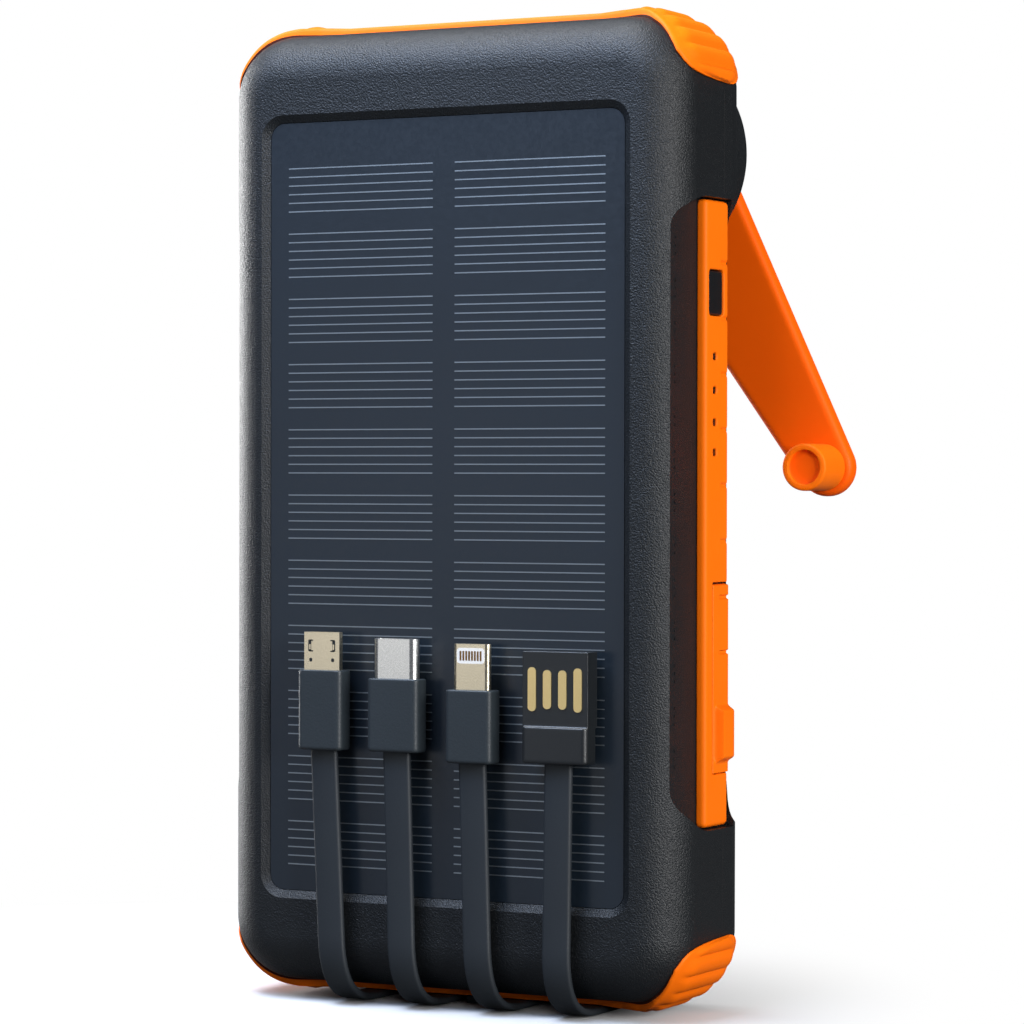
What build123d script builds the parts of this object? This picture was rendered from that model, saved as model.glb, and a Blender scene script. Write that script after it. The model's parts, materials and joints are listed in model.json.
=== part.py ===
from build123d import *
import math
import os

os.makedirs("parts", exist_ok=True)

# Hand crank and solar phone charger, standing upright. All lengths are millimetres.
# X runs across the body, Y from the solar face (-Y) to the crank side (+Y), Z up from the floor.

# body shell
BODY_W = 86.4          # width
FLOOR_Z = 1.75         # drawing height of the floor; each part is set down by this much when saved
SHELL_Z0 = 4.7         # underside of the shell
SHELL_Z1 = 167.2       # top of the shell
FRONT_Y = -15.0        # solar face
BACK_Y = 16.0          # crank face
SEAM_Y = 4.0           # plane where the two shells meet
CORNER_R = 11.0        # outline corner radius
FRONT_R = 8.0          # rounding of the front edges
REAR_R = 9.0           # rounding of the rear edges
MID_Z = (SHELL_Z0 + SHELL_Z1) / 2
BODY_H = SHELL_Z1 - SHELL_Z0

# inner space
CAV_W = 77.2
CAV_H = 157.4
CAV_Y0 = -11.4
CAV_Y1 = 14.2

# solar window
WIN_W = 70.1
WIN_Z0 = 19.35
WIN_Z1 = 153.05
WIN_R = 4.0
WIN_DEPTH = 0.9
WIN_BEVEL = 1.3
PANEL_T = 1.2

# side scoops and rails
SCOOP_X = 40.5         # face left by the scoop
SCOOP_Y0 = -12.4       # front lip of the scoop
SCOOP_Z0 = 33.0
SCOOP_Z1 = 137.7
RAIL_Y0 = -1.0
RAIL_Y1 = 8.0
RAIL_Z0 = 33.3
RAIL_Z1 = 137.4
RAIL_X = 42.3          # outer face of the rail
GROOVE_PITCH = 9.27
GROOVE_Z = 127.1
GROOVES = 8

# controls on the right rail
BUTTON_Y = 3.15
BUTTON_Z = 122.0
BUTTON_W = 5.6
BUTTON_H = 7.4
LED_Y = 2.6
LED_ZS = [111.4, 105.8, 100.5, 95.5]
PORT_Y = 5.0
USB_C_Z = 50.0
USB_A_Z = 64.0
FLAP_Z0 = 42.2
FLAP_Z1 = 73.6
FLAP_Y0 = 2.0
HINGE_X = 41.45        # axis of the port cover
HINGE_Z = 72.75

# bumpers
BAND_T = 1.45          # thickness of the band across the top and bottom
BAND_Y0 = -2.5
BAND_Y1 = 8.5
PAD_SIDE_T = 0.3       # corner pad thickness between ridges, at the side
RIDGE_R = 1.9          # radius of a ridge
RIDGE_PITCH = 3.3
RIDGES = 7

# crank
HUB_X = 20.8
HUB_Z = 146.4
BOSS_R = 19.0
BOSS_Y = 21.6          # outer face of the boss
DISC_R = 13.0
ARM_Y0 = 25.6          # arm face that looks at the body
ARM_T = 3.4
KNOB_X = 52.1
KNOB_Z = 93.1
KNOB_D = 8.0
KNOB_L = 8.6
ARM_LEN = math.hypot(KNOB_X - HUB_X, HUB_Z - KNOB_Z)
ARM_DIR = math.degrees(math.atan2(KNOB_Z - HUB_Z, KNOB_X - HUB_X))
HINGE_Y = ARM_Y0 + ARM_T / 2

# gear train
MODULE = 0.9
CRANK_TEETH = 30
WHEEL_TEETH = 28
PINION_TEETH = 10
G1 = (3.713, 140.741)    # first reduction axle
G2 = (-12.88, 144.89)  # second reduction axle
G3 = (-27.92, 136.75)  # generator axle

# captive leads: plug centre X, X under the body, overmould bottom Z
LEAD_W = 5.0
LEAD_T = 1.2
LEAD_Z = 2.5
LEAD_Y0 = 8.8
LEAD_Y = -17.35
MICRO = (-21.1, -19.2, 45.2)
TYPE_C = (-7.0, -5.8, 45.3)
TABLET = (7.4, 8.6, 43.9)
TYPE_A = (23.4, 22.9, 44.4)


def xz(y, x=0.0, z=0.0):
    """Plane seen from the solar side: local x is X, local y is Z, extrusion goes to -Y."""
    return Plane(origin=(x, y, z), x_dir=(1, 0, 0), z_dir=(0, -1, 0))


def yz(x, y=0.0, z=0.0):
    """Plane seen from the right: local x is Y, local y is Z, extrusion goes to +X."""
    return Plane(origin=(x, y, z), x_dir=(0, 1, 0), z_dir=(1, 0, 0))


def save(part, name):
    """Set the part down on the floor and write it."""
    placed = part.moved(Location((0, 0, -FLOOR_Z)))
    placed.label = name
    export_step(placed, "parts/" + name + ".step")


def body_form(grow):
    """The outer form of the body, grown evenly by some millimetres."""
    with BuildPart() as made:
        with BuildSketch(xz(BACK_Y + grow, 0, MID_Z)):
            RectangleRounded(BODY_W + 2 * grow, BODY_H + 2 * grow, CORNER_R + grow)
        extrude(amount=BACK_Y - FRONT_Y + 2 * grow)
        fillet(made.faces().sort_by(Axis.Y)[0].edges(), FRONT_R + grow)
        fillet(made.faces().sort_by(Axis.Y)[-1].edges(), REAR_R + grow)
    return made.part


def cavity_form():
    with BuildPart() as made:
        with BuildSketch(xz(CAV_Y1, 0, MID_Z)):
            RectangleRounded(CAV_W, CAV_H, 9)
        extrude(amount=CAV_Y1 - CAV_Y0)
        fillet(made.faces().sort_by(Axis.Y)[0].edges(), 3)
        fillet(made.faces().sort_by(Axis.Y)[-1].edges(), 6)
    return made.part


def scoop_form(side):
    """Material removed from one side so that the rail can sit in a long hollow."""
    z0, z1 = SCOOP_Z0, SCOOP_Z1
    with BuildPart() as made:
        with BuildSketch(yz(SCOOP_X if side > 0 else -SCOOP_X - 6)):
            with BuildLine():
                Polyline((RAIL_Y0, z1), (RAIL_Y1 + 0.3, z1), (RAIL_Y1 + 0.3, z0), (RAIL_Y0, z0))
                Spline((RAIL_Y0, z0), (-8.6, z0 + 2.4), (SCOOP_Y0, z0 + 7.8), tangents=((-1, 0), (0, 1)))
                Line((SCOOP_Y0, z0 + 7.8), (SCOOP_Y0, z1 - 5.6))
                Spline((SCOOP_Y0, z1 - 5.6), (-9.2, z1 - 1.6), (RAIL_Y0, z1), tangents=((0, 1), (1, 0)))
            make_face()
        extrude(amount=6)
        # behind the rail the wall slopes in, and it runs out to the full width at both ends
        low = [(0, z0 + 8.5), (0.35, z0 + 4.4), (1.0, z0 + 1.6), (3.0, z0 - 0.6)]
        high = [(3.0, z1 + 2.4), (1.2, z1 + 0.8), (0.5, z1 - 1.6), (0, z1 - 4.6)]
        with BuildSketch(Plane(origin=(side * 42.4, 7, 0), x_dir=(side * 0.891, 0.454, 0),
                               z_dir=(-side * 0.454, 0.891, 0))):
            with BuildLine():
                Spline(*[(a, -side * z) for a, z in low])
                Spline(*[(a, -side * z) for a, z in high])
                Line((3.0, -side * low[-1][1]), (3.0, -side * high[0][1]))
                Line((0, -side * low[0][1]), (0, -side * high[-1][1]))
            make_face()
        extrude(amount=10)
    return made.part


def ring_between(outer, inner, y0, y1):
    """Part of one form outside another, kept between two depths."""
    with BuildPart() as made:
        add(outer)
        add(inner, mode=Mode.SUBTRACT)
        with BuildSketch(xz(y1, 0, MID_Z)):
            Rectangle(130, 240)
        extrude(amount=y1 - y0, mode=Mode.INTERSECT)
    return made.part


def gear_outline(teeth, centre, tooth_angle):
    """Points of a spur gear with 25 degree involute flanks; one tooth points along tooth_angle."""
    rp = MODULE * teeth / 2
    rb = rp * math.cos(math.radians(25))
    ra, rf = rp + 0.8 * MODULE, rp - 1.1 * MODULE

    def inv(a):
        return math.tan(a) - a
    half = math.pi / (2 * teeth) - 0.06 / rp
    pts = []
    for i in range(teeth):
        mid = math.radians(tooth_angle) + 2 * math.pi * i / teeth
        flank = []
        for t in (0.0, 0.35, 0.7, 1.0):
            r = max(rb, rf) + (ra - max(rb, rf)) * t
            ang = half + inv(math.radians(25)) - inv(math.acos(min(1.0, rb / r)))
            flank.append((r, ang))
        if rf < rb:
            flank.insert(0, (rf, flank[0][1]))
        for r, ang in flank:
            pts.append((centre[0] + r * math.cos(mid - ang), centre[1] + r * math.sin(mid - ang)))
        for r, ang in reversed(flank):
            pts.append((centre[0] + r * math.cos(mid + ang), centre[1] + r * math.sin(mid + ang)))
    return pts


def bearing(a, b):
    return math.degrees(math.atan2(b[1] - a[1], b[0] - a[0]))


FORM = body_form(0)
CAVITY = cavity_form()

# ---------------------------------------------------------------- shells
# The wall is thick at the corners, and the scoops bite into both shells.
with BuildPart() as front_shell:
    add(FORM)
    add(CAVITY, mode=Mode.SUBTRACT)
    # window: sloping border down to the panel pocket
    with BuildSketch(xz(FRONT_Y + WIN_DEPTH, 0, (WIN_Z0 + WIN_Z1) / 2)):
        RectangleRounded(WIN_W - 2 * WIN_BEVEL, WIN_Z1 - WIN_Z0 - 2 * WIN_BEVEL, WIN_R - WIN_BEVEL)
    with BuildSketch(xz(FRONT_Y - 0.001, 0, (WIN_Z0 + WIN_Z1) / 2)):
        RectangleRounded(WIN_W, WIN_Z1 - WIN_Z0, WIN_R)
    loft(mode=Mode.SUBTRACT)
    with BuildSketch(xz(FRONT_Y + WIN_DEPTH + PANEL_T, 0, (WIN_Z0 + WIN_Z1) / 2)):
        RectangleRounded(WIN_W - 2 * WIN_BEVEL, WIN_Z1 - WIN_Z0 - 2 * WIN_BEVEL, WIN_R - WIN_BEVEL)
    extrude(amount=PANEL_T, mode=Mode.SUBTRACT)
    # wire hole behind the panel
    with BuildSketch(xz(CAV_Y0 + 0.1, 0, 30)):
        Rectangle(8, 4)
    extrude(amount=3, mode=Mode.SUBTRACT)
    add(scoop_form(1), mode=Mode.SUBTRACT)
    add(scoop_form(-1), mode=Mode.SUBTRACT)
    # bosses that the case screws bite into
    with BuildSketch(xz(SEAM_Y, 0, 0)):
        with Locations((35.2, 24), (-35.2, 24), (35.2, 115), (-35.2, 115)):
            Circle(2.6)
    extrude(amount=SEAM_Y - CAV_Y0 + 0.5)
    with BuildSketch(xz(SEAM_Y, 0, 0)):
        with Locations((35.2, 24), (-35.2, 24), (35.2, 115), (-35.2, 115)):
            Circle(1.2)
    extrude(amount=12, mode=Mode.SUBTRACT)
    # keep the part in front of the seam
    with BuildSketch(xz(SEAM_Y, 0, MID_Z)):
        Rectangle(120, 220)
    extrude(amount=40, mode=Mode.INTERSECT)
    # openings for button, light pipes and ports, the halves in this shell
    with BuildSketch(yz(36, BUTTON_Y, BUTTON_Z)):
        Rectangle(BUTTON_W + 0.3, BUTTON_H + 0.3)
    extrude(amount=10, mode=Mode.SUBTRACT)
    for led_z in LED_ZS:
        with BuildSketch(yz(36, LED_Y, led_z)):
            Rectangle(1.5, 1.2)
        extrude(amount=10, mode=Mode.SUBTRACT)
    with BuildSketch(yz(36, PORT_Y, USB_C_Z)):
        RectangleRounded(3.4, 9.2, 1.6)
    extrude(amount=10, mode=Mode.SUBTRACT)
    with BuildSketch(yz(36, PORT_Y, USB_A_Z)):
        Rectangle(5.9, 13.3)
    extrude(amount=10, mode=Mode.SUBTRACT)
save(front_shell.part, "front_shell")

with BuildPart() as back_shell:
    add(FORM)
    add(CAVITY, mode=Mode.SUBTRACT)
    with BuildSketch(xz(BOSS_Y + 1, HUB_X, HUB_Z)):
        Circle(4.5)
    extrude(amount=12, mode=Mode.SUBTRACT)
    add(scoop_form(1), mode=Mode.SUBTRACT)
    add(scoop_form(-1), mode=Mode.SUBTRACT)
    # sleeves for the case screws, with sunk heads
    with BuildSketch(xz(CAV_Y1 + 0.3, 0, 0)):
        with Locations((35.2, 24), (-35.2, 24), (35.2, 115), (-35.2, 115)):
            Circle(3.8)
    extrude(amount=CAV_Y1 + 0.3 - SEAM_Y)
    with BuildSketch(xz(BACK_Y + 1, 0, 0)):
        with Locations((35.2, 24), (-35.2, 24), (35.2, 115), (-35.2, 115)):
            Circle(1.55)
    extrude(amount=16, mode=Mode.SUBTRACT)
    with BuildSketch(xz(BACK_Y + 1, 0, 0)):
        with Locations((35.2, 24), (-35.2, 24), (35.2, 115), (-35.2, 115)):
            Circle(2.6)
    extrude(amount=5, mode=Mode.SUBTRACT)
    # window of the torch lens
    with BuildSketch(xz(BACK_Y + 1, 0, 28)):
        RectangleRounded(34.2, 12.2, 3.1)
    extrude(amount=5, mode=Mode.SUBTRACT)
    # slot for the strain relief bar of the leads
    with BuildSketch(xz(13.45, 1.85, 4.0)):
        Rectangle(56.2, 8.0)
    extrude(amount=4.7, mode=Mode.SUBTRACT)
    with BuildSketch(xz(BACK_Y + 30, 0, MID_Z)):
        Rectangle(120, 220)
    extrude(amount=BACK_Y + 30 - SEAM_Y, mode=Mode.INTERSECT)
    with BuildSketch(yz(36, BUTTON_Y, BUTTON_Z)):
        Rectangle(BUTTON_W + 0.3, BUTTON_H + 0.3)
    extrude(amount=10, mode=Mode.SUBTRACT)
    with BuildSketch(yz(36, PORT_Y, USB_C_Z)):
        RectangleRounded(3.4, 9.2, 1.6)
    extrude(amount=10, mode=Mode.SUBTRACT)
    with BuildSketch(yz(36, PORT_Y, USB_A_Z)):
        Rectangle(5.9, 13.3)
    extrude(amount=10, mode=Mode.SUBTRACT)
save(back_shell.part, "back_shell")

# round bearing housing on the crank face; its foot follows the rounded corner of the shell
with BuildPart() as crank_housing:
    with BuildSketch(xz(BOSS_Y, HUB_X, HUB_Z)):
        Circle(BOSS_R)
    extrude(amount=BOSS_Y - 10)
    fillet(crank_housing.faces().sort_by(Axis.Y)[-1].edges(), 1.2)
    add(FORM, mode=Mode.SUBTRACT)
    with BuildSketch(xz(BOSS_Y + 1, HUB_X, HUB_Z)):
        Circle(4.5)
    extrude(amount=12, mode=Mode.SUBTRACT)
save(crank_housing.part, "crank_housing")

# ---------------------------------------------------------------- solar panel
with BuildPart() as solar_panel:
    with BuildSketch(xz(FRONT_Y + WIN_DEPTH + PANEL_T, 0, (WIN_Z0 + WIN_Z1) / 2)):
        RectangleRounded(WIN_W - 2 * WIN_BEVEL - 0.2, WIN_Z1 - WIN_Z0 - 2 * WIN_BEVEL - 0.2,
                         WIN_R - WIN_BEVEL - 0.1)
    extrude(amount=PANEL_T)
save(solar_panel.part, "solar_panel")


# ---------------------------------------------------------------- bumpers
def corner_mask(side, top):
    """Prism that cuts the corner pad out of the grown form; its edge sweeps forward at the corner."""
    cx = side * 40.0
    cz = SHELL_Z1 - 3.2 if top else SHELL_Z0 + 3.2
    n = (side * 0.70711, 0, 0.70711 if top else -0.70711)
    s = (side * 0.70711, 0, -0.70711 if top else 0.70711)
    sweep_line = [(-13.5, -2.5), (-10.0, -2.9), (-6.9, -4.7), (-4.0, -7.2), (-1.2, -8.9), (2.0, -9.3),
                  (4.8, -7.9), (6.6, -4.6), (7.3, 1.0)]
    base = Plane(origin=(cx, 0, cz), x_dir=(0, 1, 0), z_dir=n)
    flip = 1 if base.y_dir.dot(Vector(*s)) > 0 else -1
    front = [(v, flip * u) for u, v in sweep_line]
    rear = [(2.0 - v, flip * u) for u, v in reversed(sweep_line)]
    with BuildPart() as made:
        with BuildSketch(Plane(origin=(cx - 14 * n[0], 0, cz - 14 * n[2]), x_dir=(0, 1, 0), z_dir=n)):
            with BuildLine():
                Spline(*front)
                Spline(*rear)
                Line(rear[-1], front[0])
            make_face()
        extrude(amount=24)
    return made.part


def pad_form(side_t, face_t):
    """The body form with more growth at the top and bottom than at the sides."""
    with BuildPart() as made:
        with BuildSketch(xz(BACK_Y + side_t, 0, MID_Z)):
            RectangleRounded(BODY_W + 2 * side_t, BODY_H + 2 * face_t, CORNER_R + side_t)
        extrude(amount=BACK_Y - FRONT_Y + 2 * side_t)
        fillet(made.faces().sort_by(Axis.Y)[0].edges(), FRONT_R)
        fillet(made.faces().sort_by(Axis.Y)[-1].edges(), REAR_R)
    return made.part


def ridge_places(side, top):
    """Centres of the ridges, evenly spaced along the corner from the side to the flat."""
    cx = side * (BODY_W / 2 - CORNER_R)
    up = 1 if top else -1
    cz = SHELL_Z1 - CORNER_R if top else SHELL_Z0 + CORNER_R
    quarter = CORNER_R * math.pi / 2
    places = []
    for k in range(RIDGES):
        along = 1.3 + k * RIDGE_PITCH
        a = min(along / quarter, 1.0) * math.pi / 2
        past = max(0.0, along - quarter)
        r = CORNER_R + 0.85 + 1.05 * math.sin(a) - RIDGE_R
        places.append((cx + side * (r * math.cos(a) - past), cz + up * r * math.sin(a)))
    return places


def corner_pad(side, top):
    """Ridged pad over one corner."""
    with BuildPart() as made:
        add(pad_form(PAD_SIDE_T, BAND_T - 0.15))
        # ridges run front to back over the corner
        with BuildSketch(xz(BACK_Y - 4)):
            for place in ridge_places(side, top):
                with Locations(place):
                    Circle(RIDGE_R)
        extrude(amount=BACK_Y - FRONT_Y - 8)
        add(corner_mask(side, top), mode=Mode.INTERSECT)
        add(FORM, mode=Mode.SUBTRACT)
    return made.part


def bumper(top):
    with BuildPart() as made:
        add(ring_between(body_form(BAND_T), FORM, BAND_Y0, BAND_Y1))
        with BuildSketch(xz(30, 0, SHELL_Z1 + 8 if top else SHELL_Z0 - 8)):
            Rectangle(66, 20)
        extrude(amount=60, mode=Mode.INTERSECT)
        add(corner_pad(1, top))
        add(corner_pad(-1, top))
    return made.part


bumper_top = bumper(True)
save(bumper_top, "top_bumper")
bumper_bottom = bumper(False)
save(bumper_bottom, "bottom_bumper")


# ---------------------------------------------------------------- side rails
def rail_blank(side):
    with BuildPart() as made:
        with BuildSketch(yz(SCOOP_X if side > 0 else -RAIL_X, (RAIL_Y0 + RAIL_Y1) / 2, (RAIL_Z0 + RAIL_Z1) / 2)):
            RectangleRounded(RAIL_Y1 - RAIL_Y0, RAIL_Z1 - RAIL_Z0, 0.8)
        extrude(amount=RAIL_X - SCOOP_X)
        outer = made.faces().sort_by(Axis.X)[-1 if side > 0 else 0]
        fillet(outer.edges().filter_by(Axis.Z), 0.8)
        # small grip notches along the rear edge
        for k in range(GROOVES):
            with BuildSketch(yz(RAIL_X - 0.4 if side > 0 else -RAIL_X - 0.6, 6.6,
                                GROOVE_Z - k * GROOVE_PITCH)):
                Rectangle(3.6, 0.7)
            extrude(amount=1.0, mode=Mode.SUBTRACT)
    return made.part


with BuildPart() as right_rail:
    add(rail_blank(1))
    with BuildSketch(yz(SCOOP_X - 1, BUTTON_Y, BUTTON_Z)):
        RectangleRounded(BUTTON_W + 0.3, BUTTON_H + 0.3, 0.8)
    extrude(amount=5, mode=Mode.SUBTRACT)
    for led_z in LED_ZS:
        with BuildSketch(yz(SCOOP_X - 1, LED_Y, led_z)):
            Rectangle(1.5, 1.2)
        extrude(amount=5, mode=Mode.SUBTRACT)
    # opening that the port cover fills
    with BuildSketch(yz(SCOOP_X - 1, (FLAP_Y0 - 0.15 + 10) / 2, (FLAP_Z0 - 0.2 + FLAP_Z1 + 0.3) / 2)):
        Rectangle(10 - FLAP_Y0 + 0.15, FLAP_Z1 - FLAP_Z0 + 0.5)
    extrude(amount=5, mode=Mode.SUBTRACT)
    # the rail takes the front end of the hinge pin
    with BuildSketch(xz(FLAP_Y0 + 0.5, HINGE_X, HINGE_Z)):
        Circle(0.38)
    extrude(amount=1.1, mode=Mode.SUBTRACT)
save(right_rail.part, "right_rail")

left_rail = rail_blank(-1)
save(left_rail, "left_rail")

# ---------------------------------------------------------------- port cover and its hinge pin
with BuildPart() as port_cover:
    with BuildSketch(yz(RAIL_X - 1.7, (FLAP_Y0 + RAIL_Y1) / 2, (FLAP_Z0 + HINGE_Z) / 2)):
        Rectangle(RAIL_Y1 - FLAP_Y0, HINGE_Z - FLAP_Z0)
    extrude(amount=1.7)
    # rolled upper edge round the hinge pin
    with BuildSketch(xz(RAIL_Y1, HINGE_X, HINGE_Z)):
        Circle(0.85)
    extrude(amount=RAIL_Y1 - FLAP_Y0)
    # pull tab
    with BuildSketch(yz(RAIL_X, 4.8, 48.5)):
        RectangleRounded(5.4, 9.6, 0.9)
    extrude(amount=2.0)
    fillet(port_cover.faces().sort_by(Axis.X)[-1].edges(), 0.7)
    for k in (6, 7):
        with BuildSketch(yz(RAIL_X - 0.4, 6.6, GROOVE_Z - k * GROOVE_PITCH)):
            Rectangle(3.6, 0.7)
        extrude(amount=1.0, mode=Mode.SUBTRACT)
    with BuildSketch(xz(RAIL_Y1 + 1, HINGE_X, HINGE_Z)):
        Circle(0.42)
    extrude(amount=10, mode=Mode.SUBTRACT)
save(port_cover.part, "port_cover")

with BuildPart() as port_cover_pin:
    with BuildSketch(xz(RAIL_Y1 - 0.2, HINGE_X, HINGE_Z)):
        Circle(0.38)
    extrude(amount=RAIL_Y1 - 0.2 - FLAP_Y0 + 0.6)
save(port_cover_pin.part, "port_cover_pin")

# ---------------------------------------------------------------- power button, switch, lights
with BuildPart() as power_button:
    with BuildSketch(yz(38.4, BUTTON_Y, BUTTON_Z)):
        RectangleRounded(BUTTON_W, BUTTON_H, 0.7)
    extrude(amount=RAIL_X - 0.2 - 38.4)
    fillet(power_button.faces().sort_by(Axis.X)[-1].edges(), 0.4)
    with BuildSketch(yz(36.2, BUTTON_Y, BUTTON_Z)):
        Circle(1.3)
    extrude(amount=2.2)
save(power_button.part, "power_button")

with BuildPart() as main_board:
    with BuildSketch(xz(1.2, 16.75, 85)):
        RectangleRounded(29.5, 76, 1)
    extrude(amount=1.6)
save(main_board.part, "main_board")

with BuildPart() as tact_switch:
    with BuildSketch(xz(5.1, 31, BUTTON_Z)):
        Rectangle(4.0, 6.0)
    extrude(amount=3.9)
    with BuildSketch(yz(33, BUTTON_Y, BUTTON_Z)):
        Circle(1.2)
    extrude(amount=2.6)
save(tact_switch.part, "tact_switch")

with BuildPart() as status_leds:
    for led_z in LED_ZS:
        with BuildSketch(xz(3.2, 31.6, led_z)):
            Rectangle(1.6, 1.2)
        extrude(amount=2.0)
save(status_leds.part, "status_leds")

with BuildPart() as light_pipes:
    for led_z in LED_ZS:
        with BuildSketch(yz(32.6, LED_Y, led_z)):
            Rectangle(1.3, 1.0)
        extrude(amount=RAIL_X - 0.3 - 32.6)
    with BuildSketch(yz(36.2, LED_Y, sum(LED_ZS) / 4)):
        Rectangle(1.3, 17.6)
    extrude(amount=1.4)
save(light_pipes.part, "light_pipes")

# ---------------------------------------------------------------- ports
with BuildPart() as usb_a_port:
    with BuildSketch(yz(26, PORT_Y, USB_A_Z)):
        Rectangle(5.7, 13.1)
    extrude(amount=14.0)
    with BuildSketch(yz(27, PORT_Y, USB_A_Z)):
        Rectangle(5.1, 12.5)
    extrude(amount=14, mode=Mode.SUBTRACT)
    with BuildSketch(yz(26.5, PORT_Y - 1.4, USB_A_Z)):
        Rectangle(1.8, 11.1)
    extrude(amount=12.4)
save(usb_a_port.part, "usb_a_port")

with BuildPart() as usb_c_port:
    with BuildSketch(yz(32, PORT_Y, USB_C_Z)):
        RectangleRounded(3.2, 8.94, 1.5)
    extrude(amount=8.0)
    with BuildSketch(yz(32.8, PORT_Y, USB_C_Z)):
        RectangleRounded(2.6, 8.34, 1.29)
    extrude(amount=8, mode=Mode.SUBTRACT)
    with BuildSketch(yz(32.4, PORT_Y, USB_C_Z)):
        Rectangle(0.7, 6.6)
    extrude(amount=6.4)
save(usb_c_port.part, "usb_c_port")

with BuildPart() as port_shims:
    with BuildSketch(xz(PORT_Y - 2.85, 30.0, USB_A_Z)):
        Rectangle(6, 10)
    extrude(amount=PORT_Y - 2.85 - 1.2)
    with BuildSketch(xz(PORT_Y - 1.6, 33.8, USB_C_Z)):
        Rectangle(3.4, 7)
    extrude(amount=PORT_Y - 1.6 - 1.2)
save(port_shims.part, "port_shims")

# ---------------------------------------------------------------- board parts
with BuildPart() as charge_chips:
    with BuildSketch(xz(2.8, 0, 0)):
        with Locations((16, 112), (16, 98), (13, 82), (14, 56)):
            Rectangle(7, 7)
    extrude(amount=1.6)
save(charge_chips.part, "charge_chips")

with BuildPart() as inductor:
    with BuildSketch(xz(5.4, 24, 82)):
        RectangleRounded(8, 8, 1.2)
    extrude(amount=4.2)
save(inductor.part, "inductor")

with BuildPart() as capacitors:
    with BuildSketch(xz(8.2, 0, 0)):
        with Locations((24, 96), (24, 106)):
            Circle(3.1)
    extrude(amount=7.0)
save(capacitors.part, "capacitors")


# ---------------------------------------------------------------- battery cells
def pouch_cell(y0, y1, x, z, width, height):
    with BuildPart() as made:
        with BuildSketch(xz(y1, x, z)):
            RectangleRounded(width, height, 2)
        extrude(amount=y1 - y0)
        fillet(made.edges().filter_by(Axis.Z), 1.6)
        # welded seam with the two metal tabs
        with BuildSketch(xz((y0 + y1) / 2 + 0.2, x, z + height / 2 + 2)):
            Rectangle(width - 6, 4.2)
        extrude(amount=0.4)
    return made.part


save(pouch_cell(-10.8, -1.4, 0, 63, 62, 96), "front_battery_cell")
save(pouch_cell(-0.6, 9.6, -15.0, 63, 32, 96), "rear_battery_cell")

# ---------------------------------------------------------------- torch on the crank face
with BuildPart() as torch_lens:
    with BuildSketch(xz(BACK_Y, 0, 28)):
        RectangleRounded(34, 12, 3)
    extrude(amount=1.8)
save(torch_lens.part, "torch_lens")

with BuildPart() as torch_board:
    with BuildSketch(xz(12.6, 0, 28)):
        Rectangle(36, 13)
    extrude(amount=1.2)
save(torch_board.part, "torch_board")

with BuildPart() as torch_leds:
    with BuildSketch(xz(13.6, 0, 28)):
        with Locations((-11, 0), (0, 0), (11, 0)):
            Rectangle(5, 5)
    extrude(amount=1.0)
save(torch_leds.part, "torch_leds")

# ---------------------------------------------------------------- gearbox plates
with BuildPart() as gear_plate_front:
    with BuildSketch(xz(3.8)):
        with BuildLine():
            Polyline((-38, 123.5), (24, 123.5), (24, 126.8), (37, 126.8), (37, 156), (30, 162), (-30, 162),
                     (-38, 154), close=True)
        make_face()
        with Locations((HUB_X, HUB_Z)):
            Circle(3.05, mode=Mode.SUBTRACT)
        with Locations(G1, G2):
            Circle(1.55, mode=Mode.SUBTRACT)
        with Locations(G3):
            Circle(1.3, mode=Mode.SUBTRACT)
    extrude(amount=1.2)
save(gear_plate_front.part, "gear_plate_front")

with BuildPart() as gear_plate_back:
    with BuildSketch(xz(14.2)):
        with BuildLine():
            Polyline((-32.2, 123.5), (24, 123.5), (24, 126.8), (32.2, 126.8), (32.2, 153), (28.5, 157),
                     (-28.5, 157), (-32.2, 153), close=True)
        make_face()
        with Locations((HUB_X, HUB_Z)):
            Circle(4.5, mode=Mode.SUBTRACT)
        with Locations(G1, G2):
            Circle(1.55, mode=Mode.SUBTRACT)
    extrude(amount=1.0)
save(gear_plate_back.part, "gear_plate_back")

with BuildPart() as gearbox_posts:
    with BuildSketch(xz(13.2)):
        with Locations((-30.2, 126.0), (-1.5, 125.9), (30.0, 129.2), (-1.8, 155.3)):
            Circle(1.5)
    extrude(amount=9.4)
save(gearbox_posts.part, "gearbox_posts")

# ---------------------------------------------------------------- crank bearing, shaft and gear
with BuildPart() as crank_bushing:
    with BuildSketch(xz(21.4, HUB_X, HUB_Z)):
        Circle(4.5)
        Circle(3.05, mode=Mode.SUBTRACT)
    extrude(amount=8.2)
save(crank_bushing.part, "crank_bushing")

with BuildPart() as crank_shaft:
    with BuildSketch(xz(23.2, HUB_X, HUB_Z)):
        Circle(3.0)
    extrude(amount=20.4)
save(crank_shaft.part, "crank_shaft")


def spur(teeth, centre, angle, y0, y1, bore=0.0):
    with BuildPart() as made:
        with BuildSketch(xz(y1)):
            with BuildLine():
                Polyline(*gear_outline(teeth, centre, angle), close=True)
            make_face()
            if bore:
                with Locations(centre):
                    Circle(bore, mode=Mode.SUBTRACT)
        extrude(amount=y1 - y0)
    return made.part


HUB = (HUB_X, HUB_Z)
GAP = 180.0 / PINION_TEETH
save(spur(CRANK_TEETH, HUB, bearing(HUB, G1), 10.4, 12.6, 3.0), "crank_gear")


def compound(centre, before, after, y_wheel, y_pinion):
    """Wheel and pinion moulded on one axle."""
    with BuildPart() as made:
        add(spur(WHEEL_TEETH, centre, bearing(centre, after), *y_wheel))
        add(spur(PINION_TEETH, centre, bearing(centre, before) + GAP, *y_pinion))
        with BuildSketch(xz(14.1, *centre)):
            Circle(1.5)
        extrude(amount=11.4)
    return made.part


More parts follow.
